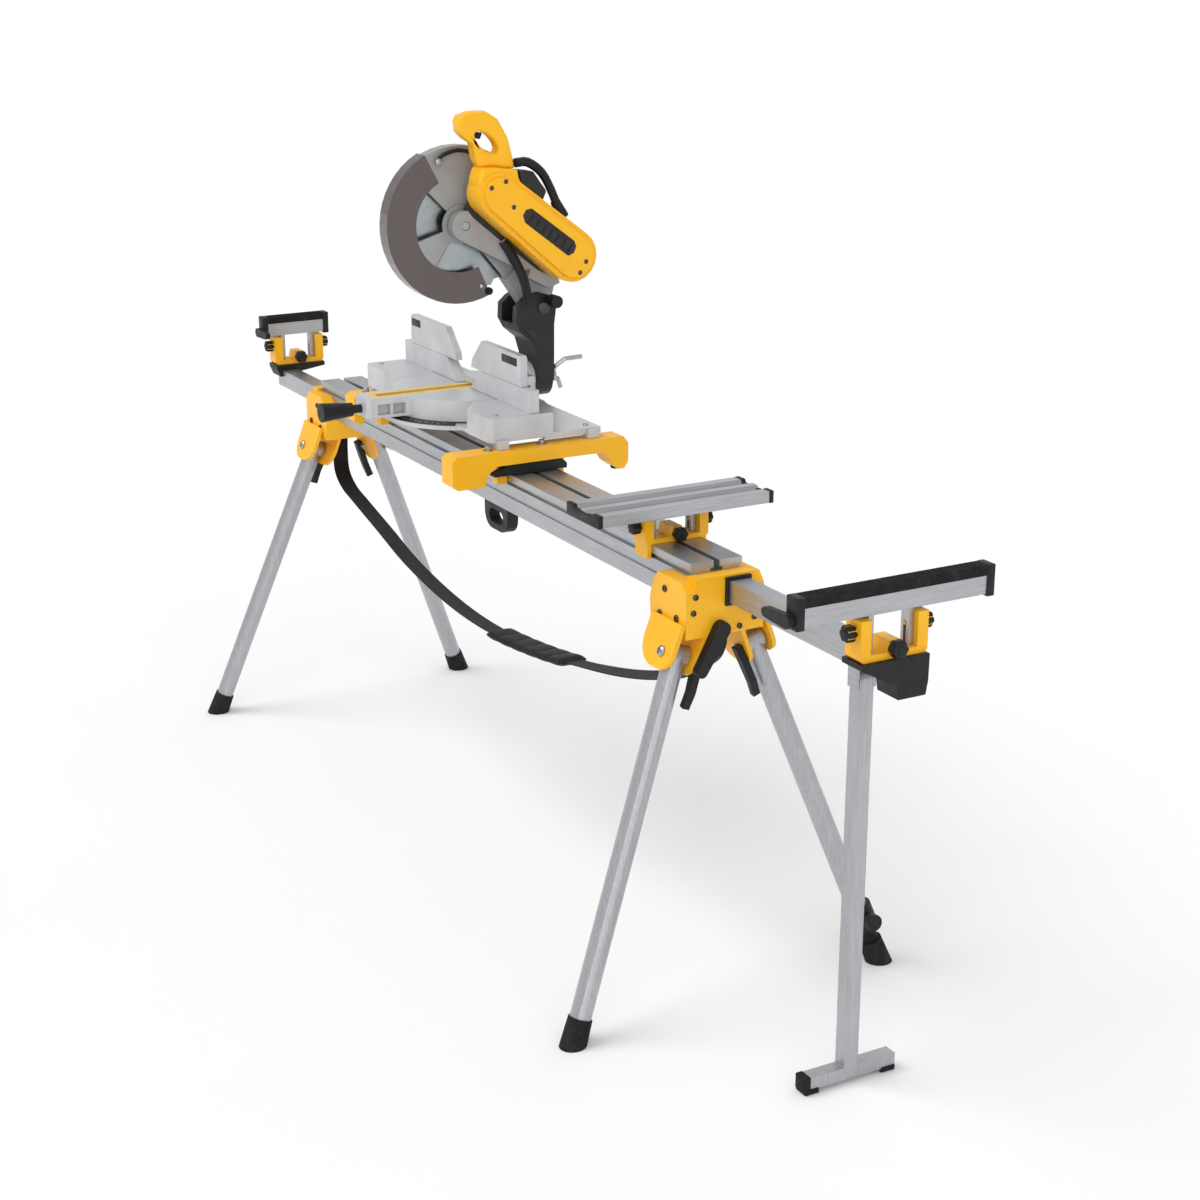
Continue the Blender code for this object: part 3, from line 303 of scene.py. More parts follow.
def smoked_plastic():
    """Tinted see-through guard plastic, scratched in arcs by sawdust."""
    surface = start("smoked_plastic", (0.170, 0.138, 0.138), 0.20, Transmission_Weight=0.30, IOR=1.3,
                    Coat_Weight=0.5, Coat_Roughness=0.12)
    arcs = add(surface, "ShaderNodeTexWave",
               {"Vector": coordinates(surface, offset=SAW + Vector((0, *ARBOR))), "Scale": 70.0, "Distortion": 5.0,
                "Detail": 3.0}, wave_type="RINGS", rings_direction="X").outputs["Fac"]
    feed(surface, "Base Color", mix(surface, arcs, (0.140, 0.113, 0.113), (0.165, 0.135, 0.135)))
    feed(surface, "Roughness", spread(surface, arcs, 0.18, 0.26, 0.0, 1.0))
    relief(surface, arcs, 0.03, 0.0002, 0.0010)
    return surface


def copper():
    """Wound wire on the motor's core."""
    surface = start("copper", (0.62, 0.30, 0.14), 0.35, 0.9)
    wire = add(surface, "ShaderNodeTexWave", {"Vector": coordinates(surface), "Scale": 220.0, "Distortion": 0.4},
               bands_direction="X").outputs["Fac"]
    feed(surface, "Base Color", mix(surface, wire, (0.36, 0.16, 0.07), (0.68, 0.35, 0.17)))
    feed(surface, "Roughness", spread(surface, noise(surface, 60), 0.28, 0.46))
    relief(surface, wire, 0.5, 0.0005, 0)
    return surface


YELLOW = yellow_paint()
YELLOW_PLASTIC = yellow_plastic()
BEAM_METAL = drawn_aluminium("beam_aluminium", (1, 26, 26))
BAR_METAL = drawn_aluminium("bar_aluminium", (26, 1, 26))
LEG_METAL = drawn_aluminium("leg_aluminium", (26, 26, 1))
CAST = cast_aluminium()
# The head's casting is the same material made darker: painted shade for the side of the head that lies in shade.
HEAD_CAST_PAINTED_SHADE = cast_aluminium("head_aluminium_painted_shade", 0.62)
BLACK = moulded_black()
DARK_GREY = moulded_black("dark_grey_plastic", (0.022, 0.020, 0.019), (0.38, 0.55))
BLACK_PAINT = black_paint()
RUBBER = black_rubber()
WEBBING = webbing()
PAD_FABRIC = pad_fabric()
BLADE_STEEL = turned_steel("blade_steel", SAW + Vector((0, *ARBOR)), (0.42, 0.46, 0.47))
SCREW_STEEL = turned_steel("screw_steel", SAW, (0.50, 0.50, 0.52))
DARK_SCREW = turned_steel("dark_screw_steel", SAW, (0.10, 0.10, 0.11))
KERF = kerf_plastic()
SMOKED = smoked_plastic()
COPPER = copper()


# ---------------------------------------------------------------- shapes
def saw(x, y, z):
    return SAW + Vector((x, y, z))


def stand(x, y, z):
    return STAND + Vector((x, y, z))


def arc(centre, radius, start_at, end_at, steps):
    """Points on an arc, in degrees from the first axis towards the second."""
    angles = [math.radians(start_at + (end_at - start_at) * i / steps) for i in range(steps + 1)]
    return [(centre[0] + radius * math.cos(t), centre[1] + radius * math.sin(t)) for t in angles]


def lobed(centre, radius, lobes, depth=0.10):
    """A knob's outline, with that many finger lobes."""
    points = []
    for i in range(lobes * 8):
        angle = 2 * math.pi * i / (lobes * 8)
        reach = radius * (1 - depth * (0.5 - 0.5 * math.cos(lobes * angle)))
        points.append((centre[0] + reach * math.cos(angle), centre[1] + reach * math.sin(angle)))
    return points


def smooth_path(points, per_span):
    """A Catmull-Rom curve through the points."""
    ends = [Vector(points[0]) * 2 - Vector(points[1])]
    ends += [Vector(p) for p in points]
    ends.append(Vector(points[-1]) * 2 - Vector(points[-2]))
    path = []
    for i in range(1, len(ends) - 2):
        a, b, c, d = ends[i - 1:i + 3]
        for step in range(per_span):
            t = step / per_span
            path.append(0.5 * ((2 * b) + (c - a) * t + (2 * a - 5 * b + 4 * c - d) * t**2
                               + (3 * b - a - 3 * c + d) * t**3))
    path.append(ends[-2])
    return path


def loft(rings, closed_ends=True):
    """A skin over rings that have the same number of points."""
    bm = bmesh.new()
    made = [[bm.verts.new(point) for point in ring] for ring in rings]
    count = len(made[0])
    for one, two in zip(made, made[1:]):
        for k in range(count):
            bm.faces.new((one[k], one[(k + 1) % count], two[(k + 1) % count], two[k]))
    if closed_ends:
        bm.faces.new(made[0])
        bm.faces.new(list(reversed(made[-1])))
    bmesh.ops.recalc_face_normals(bm, faces=bm.faces)
    return bm


def prism(outline, axis, low, high, origin=SAW):
    """An outline in the two coordinates other than axis, in X, Y, Z order, pulled from low to high along it."""
    place = {"x": lambda a, b, c: (c, a, b), "y": lambda a, b, c: (a, c, b), "z": lambda a, b, c: (a, b, c)}[axis]
    return loft([[origin + Vector(place(a, b, level)) for a, b in outline] for level in (low, high)])


def box(low, high, origin=SAW):
    outline = [(low[0], low[1]), (high[0], low[1]), (high[0], high[1]), (low[0], high[1])]
    return prism(outline, "z", low[2], high[2], origin)


def turned(start_point, direction, profile, sides=24):
    """A turned shape along a direction. The profile is (distance along, radius) pairs."""
    start_point, along = Vector(start_point), Vector(direction).normalized()
    side = along.orthogonal().normalized()
    other = along.cross(side)
    rings = []
    for distance, radius in profile:
        angles = [2 * math.pi * i / sides for i in range(sides)]
        middle = start_point + along * distance
        rings.append([middle + (side * math.cos(t) + other * math.sin(t)) * radius for t in angles])
    return loft(rings)


def tube(points, radius, sides=14):
    """A round bar along the points; radius is a number or one number for each point."""
    radii = radius if isinstance(radius, (list, tuple)) else [radius] * len(points)
    rings = []
    side = None
    for i, point in enumerate(points):
        along = (points[min(i + 1, len(points) - 1)] - points[max(i - 1, 0)]).normalized()
        side = along.orthogonal() if side is None else side - along * side.dot(along)
        side.normalize()
        other = along.cross(side)
        angles = [2 * math.pi * k / sides for k in range(sides)]
        rings.append([point + (side * math.cos(t) + other * math.sin(t)) * radii[i] for t in angles])
    return loft(rings)


def ease_edges(bm, width, segments=2, steepest=30, wanted=None):
    """Rounds every edge sharper than the angle, or those that wanted picks."""
    bmesh.ops.dissolve_limit(bm, angle_limit=math.radians(0.5), verts=bm.verts, edges=bm.edges)
    limit = math.radians(steepest)
    chosen = [e for e in bm.edges if len(e.link_faces) == 2 and e.calc_face_angle(0) > limit
              and (wanted is None or wanted(e))]
    bmesh.ops.bevel(bm, geom=chosen, offset=width, segments=segments, profile=0.5, affect="EDGES",
                    clamp_overlap=True)


def piece(name, bm, surface, body, ease=0.0, segments=2, replaces=()):
    """Makes the shape an object that rides on a CAD body."""
    if ease:
        ease_edges(bm, ease, segments)
    bmesh.ops.triangulate(bm, faces=[f for f in bm.faces if len(f.verts) > 4])
    mesh = bpy.data.meshes.new(name)
    bm.to_mesh(mesh)
    bm.free()
    mesh.shade_smooth()
    mesh.set_sharp_from_angle(angle=math.radians(38))
    made = bpy.data.objects.new(name, mesh)
    bpy.context.scene.collection.objects.link(made)
    mesh.materials.append(surface)
    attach(made, body)
    if replaces:
        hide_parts(*replaces)
    return made


def soften(node, surface, body, width, segments=3, axis=None):
    """A copy of a CAD node with eased edges, in its place. With axis, only the rims of the faces square to it."""
    bm = bmesh.new()
    bm.from_mesh(NODES[node].data)
    bmesh.ops.remove_doubles(bm, verts=bm.verts, dist=0.00002)
    square = None
    if axis is not None:
        def square(edge):
            return sum(abs(face.normal[axis]) > 0.95 for face in edge.link_faces) == 1
    ease_edges(bm, width, segments, 30, square)
    return piece(node + "_finish", bm, surface, body, replaces=(node,))


# ---------------------------------------------------------------- carried-over CAD nodes
def paint_nodes():
    plan = {
        BEAM_METAL: ["beam", "extension_tube_right", "extension_tube_left"],
        BAR_METAL: ["support_bar_right", "support_bar_left", "wide_support_channel"],
        LEG_METAL: ["leg_front_right", "leg_front_left", "leg_back_right", "leg_back_left", "tee_leg"],
        YELLOW: ["hub_right", "hub_left", "support_bracket_right", "support_bracket_left", "wide_support_bracket",
                 "saw_mount_rail_right", "saw_mount_rail_left"],
        KERF: ["kerf_plate"],
        YELLOW_PLASTIC: ["motor_housing", "main_handle"],
        CAST: ["saw_base", "turntable", "fence_fixed", "fence_slide_right", "fence_slide_left"],
        HEAD_CAST_PAINTED_SHADE: ["head_arm"],
        BLACK_PAINT: ["bevel_post"],
        RUBBER: ["support_pad_right", "support_pad_left", "foot_front_right", "foot_front_left", "foot_back_left",
                 "foot_back_right"],
        BLADE_STEEL: ["blade"],
        SCREW_STEEL: ["bevel_lock_lever"],
        SMOKED: ["lower_guard"],
        COPPER: ["motor_rotor"],
        WEBBING: ["carry_strap"],
    }
    for surface, names in plan.items():
        for name in names:
            NODES[name].data.materials.clear()
            NODES[name].data.materials.append(surface)
    painted = {name for names in plan.values() for name in names}
    for name in NODES:
        if name not in painted:
            NODES[name].data.materials.clear()
            NODES[name].data.materials.append(BLACK)


# ---------------------------------------------------------------- stand details
def leg_frame(end, side):
    """Axes at a leg's pivot: outward along the beam, down the leg's plane, and out through it along the hinge."""
    x, y, z = LEG_PIVOT
    rise, run = LEG_PIVOT[2] - LEG_FOOT[2], LEG_FOOT[1] - LEG_PIVOT[1]
    slope = math.hypot(rise, run)
    down = Vector((0, side * run / slope, -rise / slope))
    out = Vector((0, side * rise / slope, run / slope))
    axes = Matrix((Vector((end, 0, 0)), down, out)).transposed().to_4x4()
    return Matrix.Translation(stand(end * x, side * y, z)) @ axes


def bolt(name, place, direction, radius, body, surface=None, height=0.004):
    """A button-head screw with a socket."""
    profile = [(-0.002, radius), (height * 0.45, radius), (height * 0.85, radius * 0.80), (height, radius * 0.52),
               (height * 0.5, radius * 0.46), (height * 0.5, 0.0004)]
    return piece(name, turned(place, direction, profile, 18), surface or DARK_SCREW, body)


def knob(name, face, direction, radius, length, body, lobes=6, replaces=()):
    """A lobed hand knob that stands on a face, with a raised hub on its end."""
    axis = "x" if abs(direction[0]) > 0.5 else "y"
    sign = direction[0] if axis == "x" else direction[1]
    centre = (face[1], face[2]) if axis == "x" else (face[0], face[2])
    level = face[0] if axis == "x" else face[1]
    rings = []
    for reach, share in ((-0.004, 0.62), (0.0, 0.62), (0.001, 0.90), (0.003, 1.0), (length - 0.003, 1.0),
                         (length - 0.001, 0.94), (length, 0.84), (length, 0.50), (length + 0.0015, 0.44)):
        outline = lobed(centre, radius * share, lobes, 0.16 if share > 0.6 else 0.02)
        at = level + sign * reach
        rings.append([Vector((at, a, b)) if axis == "x" else Vector((a, at, b)) for a, b in outline])
    return piece(name, loft(rings), BLACK, body, replaces=replaces)


def build_hub_details(end, name):
    face = HUB_FACE_Y
    body = "stand"
    places = [(0.789, 0.716), (0.805, 0.765), (0.845, 0.722)]
    for side in (-1, 1):
        for i, (x, z) in enumerate(places):
            tag = f"hub_bolt_{name}_{'front' if side < 0 else 'back'}_{i}"
            bolt(tag, stand(end * x, side * face, z), (0, side, 0), 0.0065, body)
    for i, (y, z) in enumerate([(-0.060, 0.765), (0.062, 0.765), (-0.064, 0.737), (0.060, 0.712), (0.030, 0.700)]):
        bolt(f"hub_end_bolt_{name}_{i}", stand(end * HUB_END_X, y, z), (end, 0, 0), 0.0055, body)
    tube_y = end * TUBE_Y
    half, room = TUBE_HALF + 0.0055, TUBE_HALF + 0.0007
    low, high = sorted((end * (HUB_END_X - 0.002), end * (HUB_END_X + 0.006)))
    outer = [(tube_y - half, TUBE_Z - half), (tube_y + half, TUBE_Z - half), (tube_y + half, TUBE_Z + half),
             (tube_y - half, TUBE_Z + half)]
    inner = [(tube_y - room, TUBE_Z - room), (tube_y + room, TUBE_Z - room), (tube_y + room, TUBE_Z + room),
             (tube_y - room, TUBE_Z + room)]
    rings = [[stand(x, a, b) for a, b in outline]
             for x, outline in ((low, outer), (high, outer), (high, inner), (low, inner), (low, outer))]
    piece("tube_collar_" + name, loft(rings, closed_ends=False), BLACK, body, ease=0.0008)
    for side in (-1, 1):
        place = leg_frame(end, side)
        side_name = "front" if side < 0 else "back"
        out = place.to_3x3() @ Vector((0, 0, 1))
        for sign in (-1, 1):
            spot = place @ Vector((0, 0, sign * 0.0295))
            tag = f"leg_bolt_{side_name}_{name}_{'out' if sign > 0 else 'in'}"
            bolt(tag, spot, out * sign, 0.010, body, SCREW_STEEL, 0.006)


def build_end_support_details(name, end, x, y, bar_half, body, bar_body):
    x = end * x
    half = 0.063
    for side in (-1, 1):
        face = stand(x, y + side * (half - 0.0005), 0.846)
        knob(f"side_knob_{name}_{'front' if side < 0 else 'back'}", face, (0, side, 0), 0.0140, 0.0180, body)
    face = stand(x + 0.0206, y, 0.8183)
    knob("height_knob_" + name, face, (1, 0, 0), 0.0150, 0.0190, "height_clamp_" + name,
         replaces=("height_clamp_" + name,))
    for side in (-1, 1):
        end_y = side * bar_half
        low_y, high_y = sorted((end_y + side * 0.0002, end_y - side * 0.014))
        outline = [(x - 0.0153, 0.8690), (x + 0.0153, 0.8690), (x + 0.0153, 0.9208), (x - 0.0153, 0.9208)]
        cap = prism(outline, "y", low_y, high_y, STAND)
        piece(f"bar_cap_{name}_{'front' if side < 0 else 'back'}", cap, BLACK, bar_body, ease=0.0016)
    for k in range(5):
        at = -0.012 + 0.006 * k
        groove = box((x + at - 0.0009, -bar_half + 0.016, 0.9195), (x + at + 0.0009, bar_half - 0.016, 0.9207), STAND)
        piece(f"pad_rib_{name}_{k}", groove, RUBBER, bar_body, ease=0.0004)


def build_wide_support_details():
    x, half_y = WIDE_SUPPORT_X, 0.176
    for side in (-1, 1):
        face = stand(x, side * 0.0645, 0.845)
        side_name = "front" if side < 0 else "back"
        knob("side_knob_wide_" + side_name, face, (0, side, 0), 0.0130, 0.0180, "wide_support")
        low_y, high_y = sorted((side * (half_y + 0.0035), side * (half_y - 0.0060)))
        outline = [(x - 0.0583, 0.8700), (x + 0.0583, 0.8700), (x + 0.0583, 0.8930), (x + 0.0365, 0.8930),
                   (x + 0.0330, 0.8870), (x - 0.0330, 0.8870), (x - 0.0365, 0.8930), (x - 0.0583, 0.8930)]
        cap = prism(outline, "y", low_y, high_y, STAND)
        piece("channel_cap_" + side_name, cap, BLACK, "wide_channel", ease=0.0012)
    knob("height_knob_wide", stand(x + 0.0226, 0, 0.8303), (1, 0, 0), 0.0130, 0.0190, "wide_support_clamp",
         replaces=("wide_support_clamp",))


def build_tee_details():
    """The rubber plug on the foot bar's front end and the pads it stands on."""
    x, y = TEE_X, TUBE_Y
    plug = box((x - 0.0140, y - 0.0945, 0.0050), (x + 0.0140, y - 0.0800, 0.0328), STAND)
    piece("tee_foot_plug", plug, RUBBER, "tee_leg", ease=0.0025, segments=3)
    for name, middle in (("front", y - 0.078), ("back", y + 0.078)):
        pad = box((x - 0.0146, middle - 0.0142, 0.0002), (x + 0.0146, middle + 0.0142, 0.0100), STAND)
        piece("tee_pad_" + name, pad, RUBBER, "tee_leg", ease=0.0018)


def build_strap():
    """The webbing strap between the hubs and the padded sleeve on it."""
    path = smooth_path([stand(x, 0, z) for x, z in STRAP_ROUTE], 10)
    half_width, half_thick = STRAP_HALF_WIDTH, STRAP_HALF_THICK
    section = [(-1.0, 0.35), (-0.93, 1.0), (-0.80, 0.75), (0.80, 0.75), (0.93, 1.0), (1.0, 0.35),
               (1.0, -0.35), (0.93, -1.0), (0.80, -0.75), (-0.80, -0.75), (-0.93, -1.0), (-1.0, -0.35)]
    across = Vector((0, 1, 0))
    rings = []
    for i, point in enumerate(path):
        along = path[min(i + 1, len(path) - 1)] - path[max(i - 1, 0)]
        up = along.cross(across).normalized()
        twist = STRAP_TWIST * min(1.0, max(0.0, (point.x - STAND.x - 0.38) / 0.25))
        wide = across * math.cos(twist) + up * math.sin(twist)
        thick = up * math.cos(twist) - across * math.sin(twist)
        rings.append([point + wide * (half_width * a) + thick * (half_thick * b) for a, b in section])
    band = piece("strap_webbing", loft(rings), WEBBING, "stand", replaces=("carry_strap",))
    build_pad(path)


def build_pad(path):
    """A foam sleeve with sewn channels across it, thinner at its ends and along its bound edges."""
    across = Vector((0, 1, 0))
    start_x, end_x = STAND.x + PAD_START_X, STAND.x + PAD_END_X
    inside = [p for p in path if start_x <= p.x <= end_x]
    fine = smooth_path(inside, 5)
    total = fine[-1].x - fine[0].x
    steps = 32
    rings = []
    for i, point in enumerate(fine):
        share = (point.x - fine[0].x) / total
        along = fine[min(i + 1, len(fine) - 1)] - fine[max(i - 1, 0)]
        up = across.cross(along).normalized()
        from_end = min(share, 1 - share) * total
        end_taper = min(1.0, 0.35 + from_end / 0.020) if from_end < 0.020 else 1.0
        channel = abs(math.sin(math.pi * share * 6)) ** 0.35
        thick = PAD_HALF_THICK * end_taper * (0.62 + 0.38 * channel)
        wide = PAD_HALF_WIDTH * (0.94 + 0.06 * min(1.0, from_end / 0.025))
        ring = []
        for k in range(steps):
            t = 2 * math.pi * k / steps
            a = math.copysign(abs(math.cos(t)) ** 0.45, math.cos(t))
            b = math.copysign(abs(math.sin(t)) ** 0.75, math.sin(t))
            ring.append(point + across * (wide * a) + up * (thick * b))
        rings.append(ring)
    pad = piece("shoulder_pad", loft(rings), PAD_FABRIC, "stand")
    for side in (-1, 1):
        line = [p + across * (side * PAD_HALF_WIDTH * 0.98) for p in fine[3:-3]]
        binding = piece(f"pad_binding_{'front' if side < 0 else 'back'}", tube(line, 0.0022, 8), WEBBING, "stand")
        binding.parent = pad
        binding.matrix_parent_inverse = Matrix.Identity(4)


def build_stand_details():
    for end, name in ((1, "right"), (-1, "left")):
        build_hub_details(end, name)
    build_end_support_details("right", 1, RIGHT_SUPPORT_X, -0.008, 0.184, "extension_right", "support_bar_right")
    build_end_support_details("left", -1, LEFT_SUPPORT_X, 0.004, 0.086, "extension_left", "support_bar_left")
    build_wide_support_details()
    build_tee_details()
    build_strap()


# ---------------------------------------------------------------- saw details
def build_housing_details():
    soften("motor_housing", YELLOW_PLASTIC, "head", 0.006, 4, axis=0)
    soften("main_handle", YELLOW_PLASTIC, "head", 0.0085, 4, axis=0)
    right = HOUSING_RIGHT
    patch = [(0.083, 0.362), (0.090, 0.373), (0.103, 0.375), (0.200, 0.303), (0.205, 0.291), (0.199, 0.278),
             (0.186, 0.273), (0.088, 0.347)]
    piece("housing_panel", prism(patch, "x", right - 0.004, right + 0.0016), DARK_GREY, "head",
          ease=0.0012)
    for k in range(7):
        y, z = 0.1005 + 0.0148 * k, 0.3560 - 0.0111 * k
        rib = [(y - 0.0065, z - 0.0095), (y - 0.0040, z - 0.0112), (y + 0.0070, z + 0.0060), (y + 0.0045, z + 0.0077)]
        piece(f"panel_rib_{k}", prism(rib, "x", right + 0.0010, right + 0.0030), BLACK, "head",
              ease=0.0006)
    for i, (y, z) in enumerate([(0.014, 0.421), (0.063, 0.380), (0.228, 0.258), (0.046, 0.432), (0.214, 0.236)]):
        bolt(f"housing_screw_{i}", saw(right - 0.0009, y, z), (1, 0, 0), 0.0052, "head", height=0.002)
    neck = [(0.004, 0.4588), (-0.004, 0.440), (-0.006, 0.425), (0.006, 0.396), (0.080, 0.372), (0.122, 0.372),
            (0.112, 0.392), (0.096, 0.414), (0.083, 0.436), (0.081, 0.4528), (0.060, 0.4540), (0.036, 0.4584)]
    piece("handle_neck", prism(neck, "x", 0.0485, 0.1035), YELLOW_PLASTIC, "head", ease=0.0055,
          segments=4)
    control_box = [(0.086, 0.450), (0.118, 0.446), (0.148, 0.405), (0.139, 0.386), (0.118, 0.392), (0.090, 0.424)]
    piece("control_box", prism(control_box, "x", 0.060, 0.099), DARK_GREY, "head", ease=0.003,
          segments=3)


def build_handle_foot():
    """The sleeve where the carry handle enters the housing."""
    path = [saw(0.080, 0.176 + 0.018 * t, 0.381 - 0.033 * t) for t in (0.0, 0.35, 0.7, 1.0)]
    piece("carry_handle_foot", tube(path, [0.0102, 0.0112, 0.0124, 0.0130], 20), BLACK, "head")


def build_housing_shade_strip():
    """A dark strip along the yellow housing's lower-left edge: painted shade between the housing and the guard."""
    outline = [(-0.010, 0.372), (0.006, 0.352), (0.070, 0.299), (0.150, 0.236), (0.178, 0.222), (0.190, 0.240),
               (0.100, 0.330), (0.010, 0.400)]
    piece("housing_shade_strip", prism(outline, "x", 0.0315, HOUSING_LEFT - 0.0002), DARK_GREY, "head",
          ease=0.0025, segments=3)


def build_duct():
    """The ribbed sleeve of the dust duct that runs down beside the arm."""
    route = [(0.0500, 0.0705, 0.3032), (0.0530, 0.089, 0.273), (0.0560, 0.107, 0.237), (0.0565, 0.120, 0.200),
             (0.0565, 0.1232, 0.1700)]
    path = smooth_path([saw(*p) for p in route], 12)
    radii = [0.0093 + 0.0009 * (i % 2) for i in range(len(path))]
    piece("dust_duct", tube(path, radii, 20), BLACK, "head")


def build_guard_details():
    """The guard's link, rubber stop, arm and screws, and the blade bolt."""
    route = [(0.0236, -0.062, 0.466), (0.0236, -0.048, 0.480), (0.0240, -0.018, 0.488), (0.0290, 0.008, 0.484),
             (0.0400, 0.023, 0.474), (0.0530, 0.032, 0.464)]
    path = smooth_path([saw(*place) for place in route], 8)
    piece("guard_link", tube(path, 0.0042, 12), BLACK, "head")
    bolt("guard_link_screw", saw(0.0270, -0.059, 0.467), (1, 0, 0), 0.0075, "head", SCREW_STEEL, 0.004)
    stop = turned(saw(0.0155, 0.052, 0.1965), (1, 0, 0), [(0, 0.0068), (0.0012, 0.0080), (0.0065, 0.0080),
                                                          (0.0080, 0.0062)])
    piece("guard_stop", stop, RUBBER, "lower_guard")
    bolt("guard_screw", saw(0.0178, 0.036, 0.208), (1, 0, 0), 0.0060, "lower_guard", SCREW_STEEL)
    hub = turned(saw(-0.0060, *ARBOR), (-1, 0, 0), [(0, 0.0222), (0.0016, 0.0218), (0.0024, 0.0130), (0.0080, 0.0125),
                                                    (0.0088, 0.0100), (0.0050, 0.0070), (0.0050, 0.0005)])
    piece("blade_bolt", hub, SCREW_STEEL, "blade")
    spoke = arc(ARBOR, 0.100, 197, 235, 8) + arc(ARBOR, 0.036, 235, 197, 8)
    piece("guard_spoke", prism(spoke, "x", 0.0176, 0.0192), HEAD_CAST_PAINTED_SHADE, "lower_guard", ease=0.0005)
    rings = [[saw(x, y, z) for y, z in arc(ARBOR, radius, 0, 350, 35)]
             for x, radius in ((0.0176, 0.0265), (0.0176, 0.0408), (0.0194, 0.0404), (0.0194, 0.0268),
                               (0.0176, 0.0265))]
    piece("guard_ring", loft(rings, closed_ends=False), HEAD_CAST_PAINTED_SHADE, "lower_guard")
    for i, (y, z) in enumerate([(0.042, 0.410), (0.118, 0.330)]):
        bolt(f"guard_rivet_{i}", saw(0.0150, y, z), (1, 0, 0), 0.0050, "head", SCREW_STEEL, 0.0025)


def build_fence_details():
    for side, name in ((1, "right"), (-1, "left")):
        body = "fence_slide_" + name
        low, high = (0.180, 0.247) if side > 0 else (-0.260, -0.216)
        inset = [(low, 0.084), (high, 0.084), (high, 0.100), (low, 0.100)]
        piece("fence_inset_" + name, prism(inset, "y", -0.0008, 0.0030), DARK_GREY, body,
              ease=0.0006)
        screw = saw(side * 0.150, 0.0325, 0.056)
        knob("fence_knob_" + name, screw, (0, 1, 0), 0.0120, 0.0150, body)


def build_base_details():
    for side in (-1, 1):
        name = "right" if side > 0 else "left"
        for i, y in enumerate((-0.066, 0.136)):
            bolt(f"base_bolt_{name}_{i}", saw(side * 0.284, y, -0.0008 if i == 0 else -0.0425), (0, 0, 1), 0.0060,
                 "saw_carriage", SCREW_STEEL, 0.003)
    # A black band round the turntable's front carries the scale ticks. It also paints the shadow in the gap at the
    # turntable's front edge.
    band = arc((0, 0), 0.1745, -148, -32, 40) + arc((0, 0), 0.1528, -32, -148, 40)
    piece("mitre_scale_shadow_band", prism(band, "z", -0.0475, -0.0464), BLACK_PAINT, "saw_carriage")
    for n, degrees in enumerate(range(-50, 51, 5)):
        t = math.radians(degrees - 90)
        long = degrees % 15 == 0
        inner, outer = 0.1545, 0.1660 if long else 0.1615
        middle = Vector((math.cos(t), math.sin(t), 0))
        side = Vector((-math.sin(t), math.cos(t), 0)) * 0.0007
        rings = [[SAW + middle * r + side * s + Vector((0, 0, z)) for r, s in ((inner, -1), (outer, -1), (outer, 1),
                                                                             (inner, 1))]
                 for z in (-0.0470, -0.0460)]
        piece(f"scale_tick_{n}", loft(rings), CAST, "saw_carriage")


def build_rail_details():
    for side, name in ((1, "right"), (-1, "left")):
        x = side * 0.305
        for i, y in enumerate((-0.095, 0.024)):
            washer = turned(saw(x, y, -0.0640), (0, 0, 1), [(0, 0.0100), (0.0016, 0.0100), (0.0020, 0.0062),
                                                            (0.0085, 0.0062), (0.0095, 0.0050)], 18)
            piece(f"rail_bolt_{name}_{i}", washer, SCREW_STEEL, "saw_carriage")
        foot = turned(saw(x, 0.193, -0.1290), (0, 0, -1), [(-0.004, 0.0100), (0.001, 0.0105), (0.0045, 0.0095),
                                                           (0.0055, 0.0070)], 18)
        piece("rail_foot_" + name, foot, RUBBER, "saw_carriage")


def build_post_details():
    for side in (-1, 1):
        name = "right" if side > 0 else "left"
        # The dark grey wedge is lighter than the black post: it is a painted highlight in the post's triangular
        # recess.
        outline = [(0.118, 0.118), (0.150, 0.108), (0.152, 0.086), (0.140, 0.090)]
        low, high = sorted((side * 0.0440, side * 0.0462))
        piece("painted_post_highlight_" + name, prism(outline, "x", low, high), DARK_GREY, "bevel_post",
              ease=0.0008)
        cap = turned(saw(side * 0.0440, *CHOP_PIVOT), (side, 0, 0), [(0, 0.0130), (0.0035, 0.0130), (0.0045, 0.0115),
                                                                     (0.0030, 0.0065), (0.0030, 0.0005)])
        piece("pivot_cap_" + name, cap, DARK_SCREW, "bevel_post")


def build_saw_details():
    build_housing_details()
    build_handle_foot()
    build_housing_shade_strip()
    build_duct()
    build_guard_details()
    build_fence_details()
    build_base_details()
    build_rail_details()
    build_post_details()


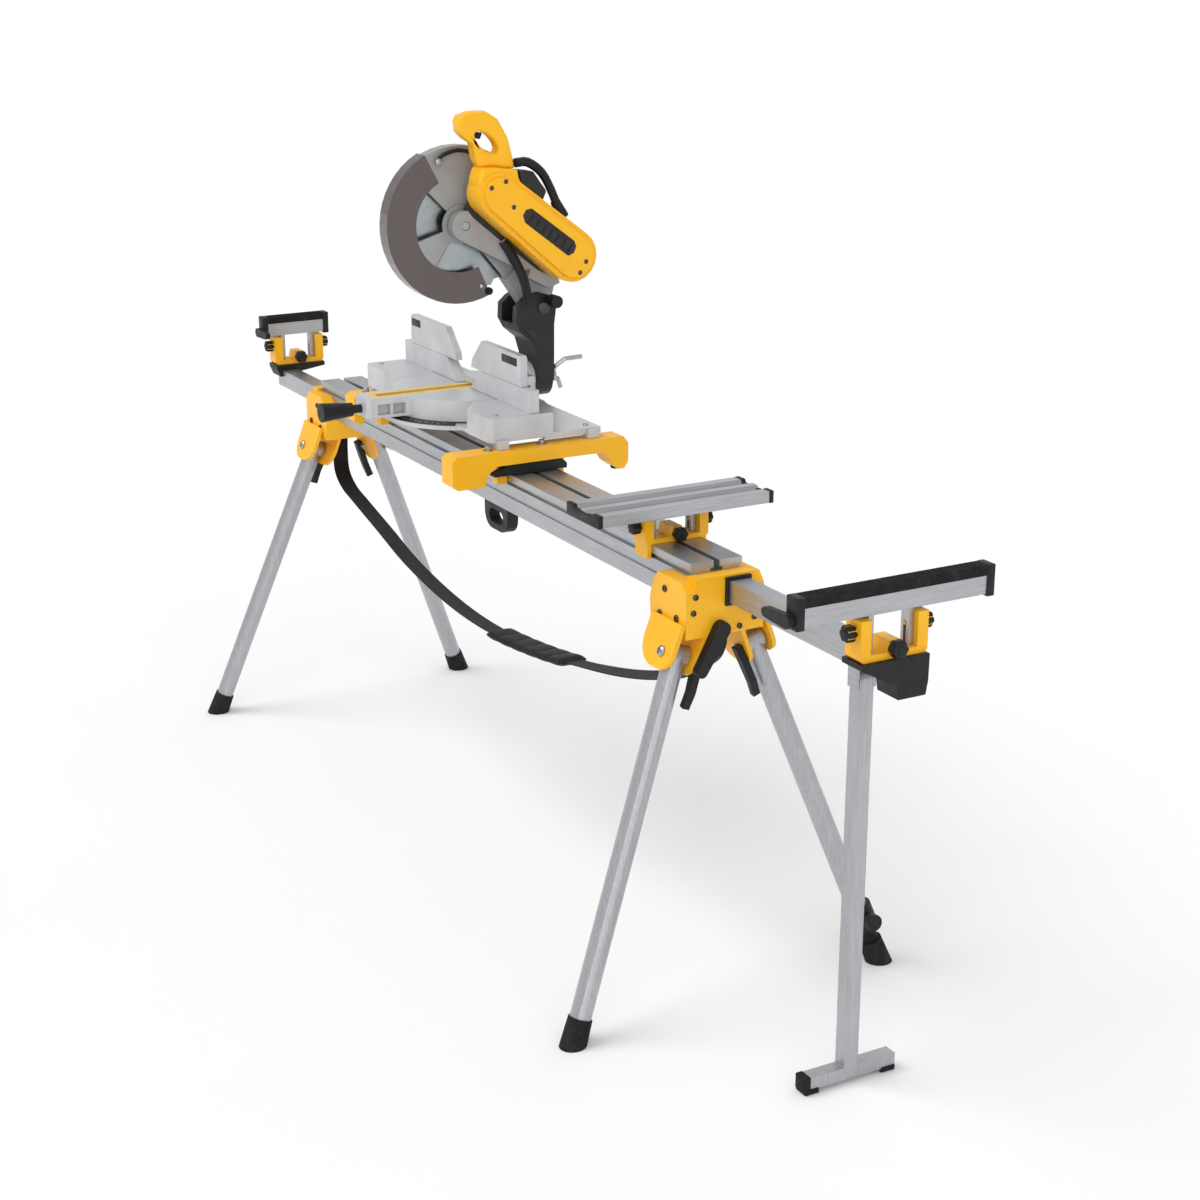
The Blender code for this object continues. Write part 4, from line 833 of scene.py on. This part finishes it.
# ---------------------------------------------------------------- stage, light and camera
def build_backdrop(radius):
    """A white wall all round, far away, which closes off the horizon and neither lights nor shades the object."""
    glow = start("backdrop", (0, 0, 0), 1.0, Specular_IOR_Level=0.0, Emission_Color=(1, 1, 1, 1),
                 Emission_Strength=1.0)
    rings = [[Vector((x, y, z)) for x, y in arc((0, 0), radius, 0, 354, 59)] for z in (-1.0, radius)]
    mesh = bpy.data.meshes.new("backdrop")
    bm = loft(rings, closed_ends=False)
    bm.to_mesh(mesh)
    bm.free()
    mesh.materials.append(glow)
    wall = bpy.data.objects.new("backdrop", mesh)
    wall.visible_diffuse = False
    wall.visible_glossy = False
    wall.visible_transmission = False
    wall.visible_shadow = False
    bpy.context.scene.collection.objects.link(wall)


def build_stage():
    floor_surface = start("floor", (0.93, 0.93, 0.93), 1.0, Specular_IOR_Level=0.0)
    tone = spread(floor_surface, noise(floor_surface, 0.6), 0.0, 1.0)
    feed(floor_surface, "Base Color", mix(floor_surface, tone, (0.92, 0.92, 0.92), (0.94, 0.94, 0.94)))
    mesh = bpy.data.meshes.new("floor")
    reach = 90.0
    mesh.from_pydata([(-reach, -reach, 0), (reach, -reach, 0), (reach, reach, 0), (-reach, reach, 0)], [],
                     [(0, 1, 2, 3)])
    mesh.materials.append(floor_surface)
    floor = bpy.data.objects.new("floor", mesh)
    floor.location.z = -0.0005
    bpy.context.scene.collection.objects.link(floor)
    build_backdrop(0.94 * reach)


def build_light():
    world = bpy.data.worlds.new("studio")
    world.use_nodes = True
    sky = world.node_tree.nodes["Background"]
    sky.inputs["Color"].default_value = (1.0, 1.0, 1.0, 1)
    sky.inputs["Strength"].default_value = SKY_STRENGTH
    bpy.context.scene.world = world
    for name, towards, strength, spread_degrees in LAMPS:
        lamp = bpy.data.lights.new(name, "SUN")
        lamp.energy = strength
        lamp.angle = math.radians(spread_degrees)
        holder = bpy.data.objects.new(name, lamp)
        holder.rotation_euler = Vector(towards).to_track_quat("-Z", "Y").to_euler()
        bpy.context.scene.collection.objects.link(holder)


def build_camera():
    camera = bpy.data.cameras.new("camera")
    camera.lens = CAMERA_LENS
    camera.sensor_width = CAMERA_SENSOR
    camera.clip_end = 500.0
    holder = bpy.data.objects.new("camera", camera)
    holder.location = CAMERA_PLACE
    flat = math.cos(CAMERA_PITCH)
    ahead = Vector((-math.cos(CAMERA_YAW) * flat, math.sin(CAMERA_YAW) * flat, -math.sin(CAMERA_PITCH)))
    holder.rotation_euler = ahead.to_track_quat("-Z", "Y").to_euler()
    bpy.context.scene.collection.objects.link(holder)
    bpy.context.scene.camera = holder
    bpy.context.scene.view_settings.view_transform = "Standard"


build_camera()
build_stage()
build_light()
paint_nodes()
build_stand_details()
build_saw_details()
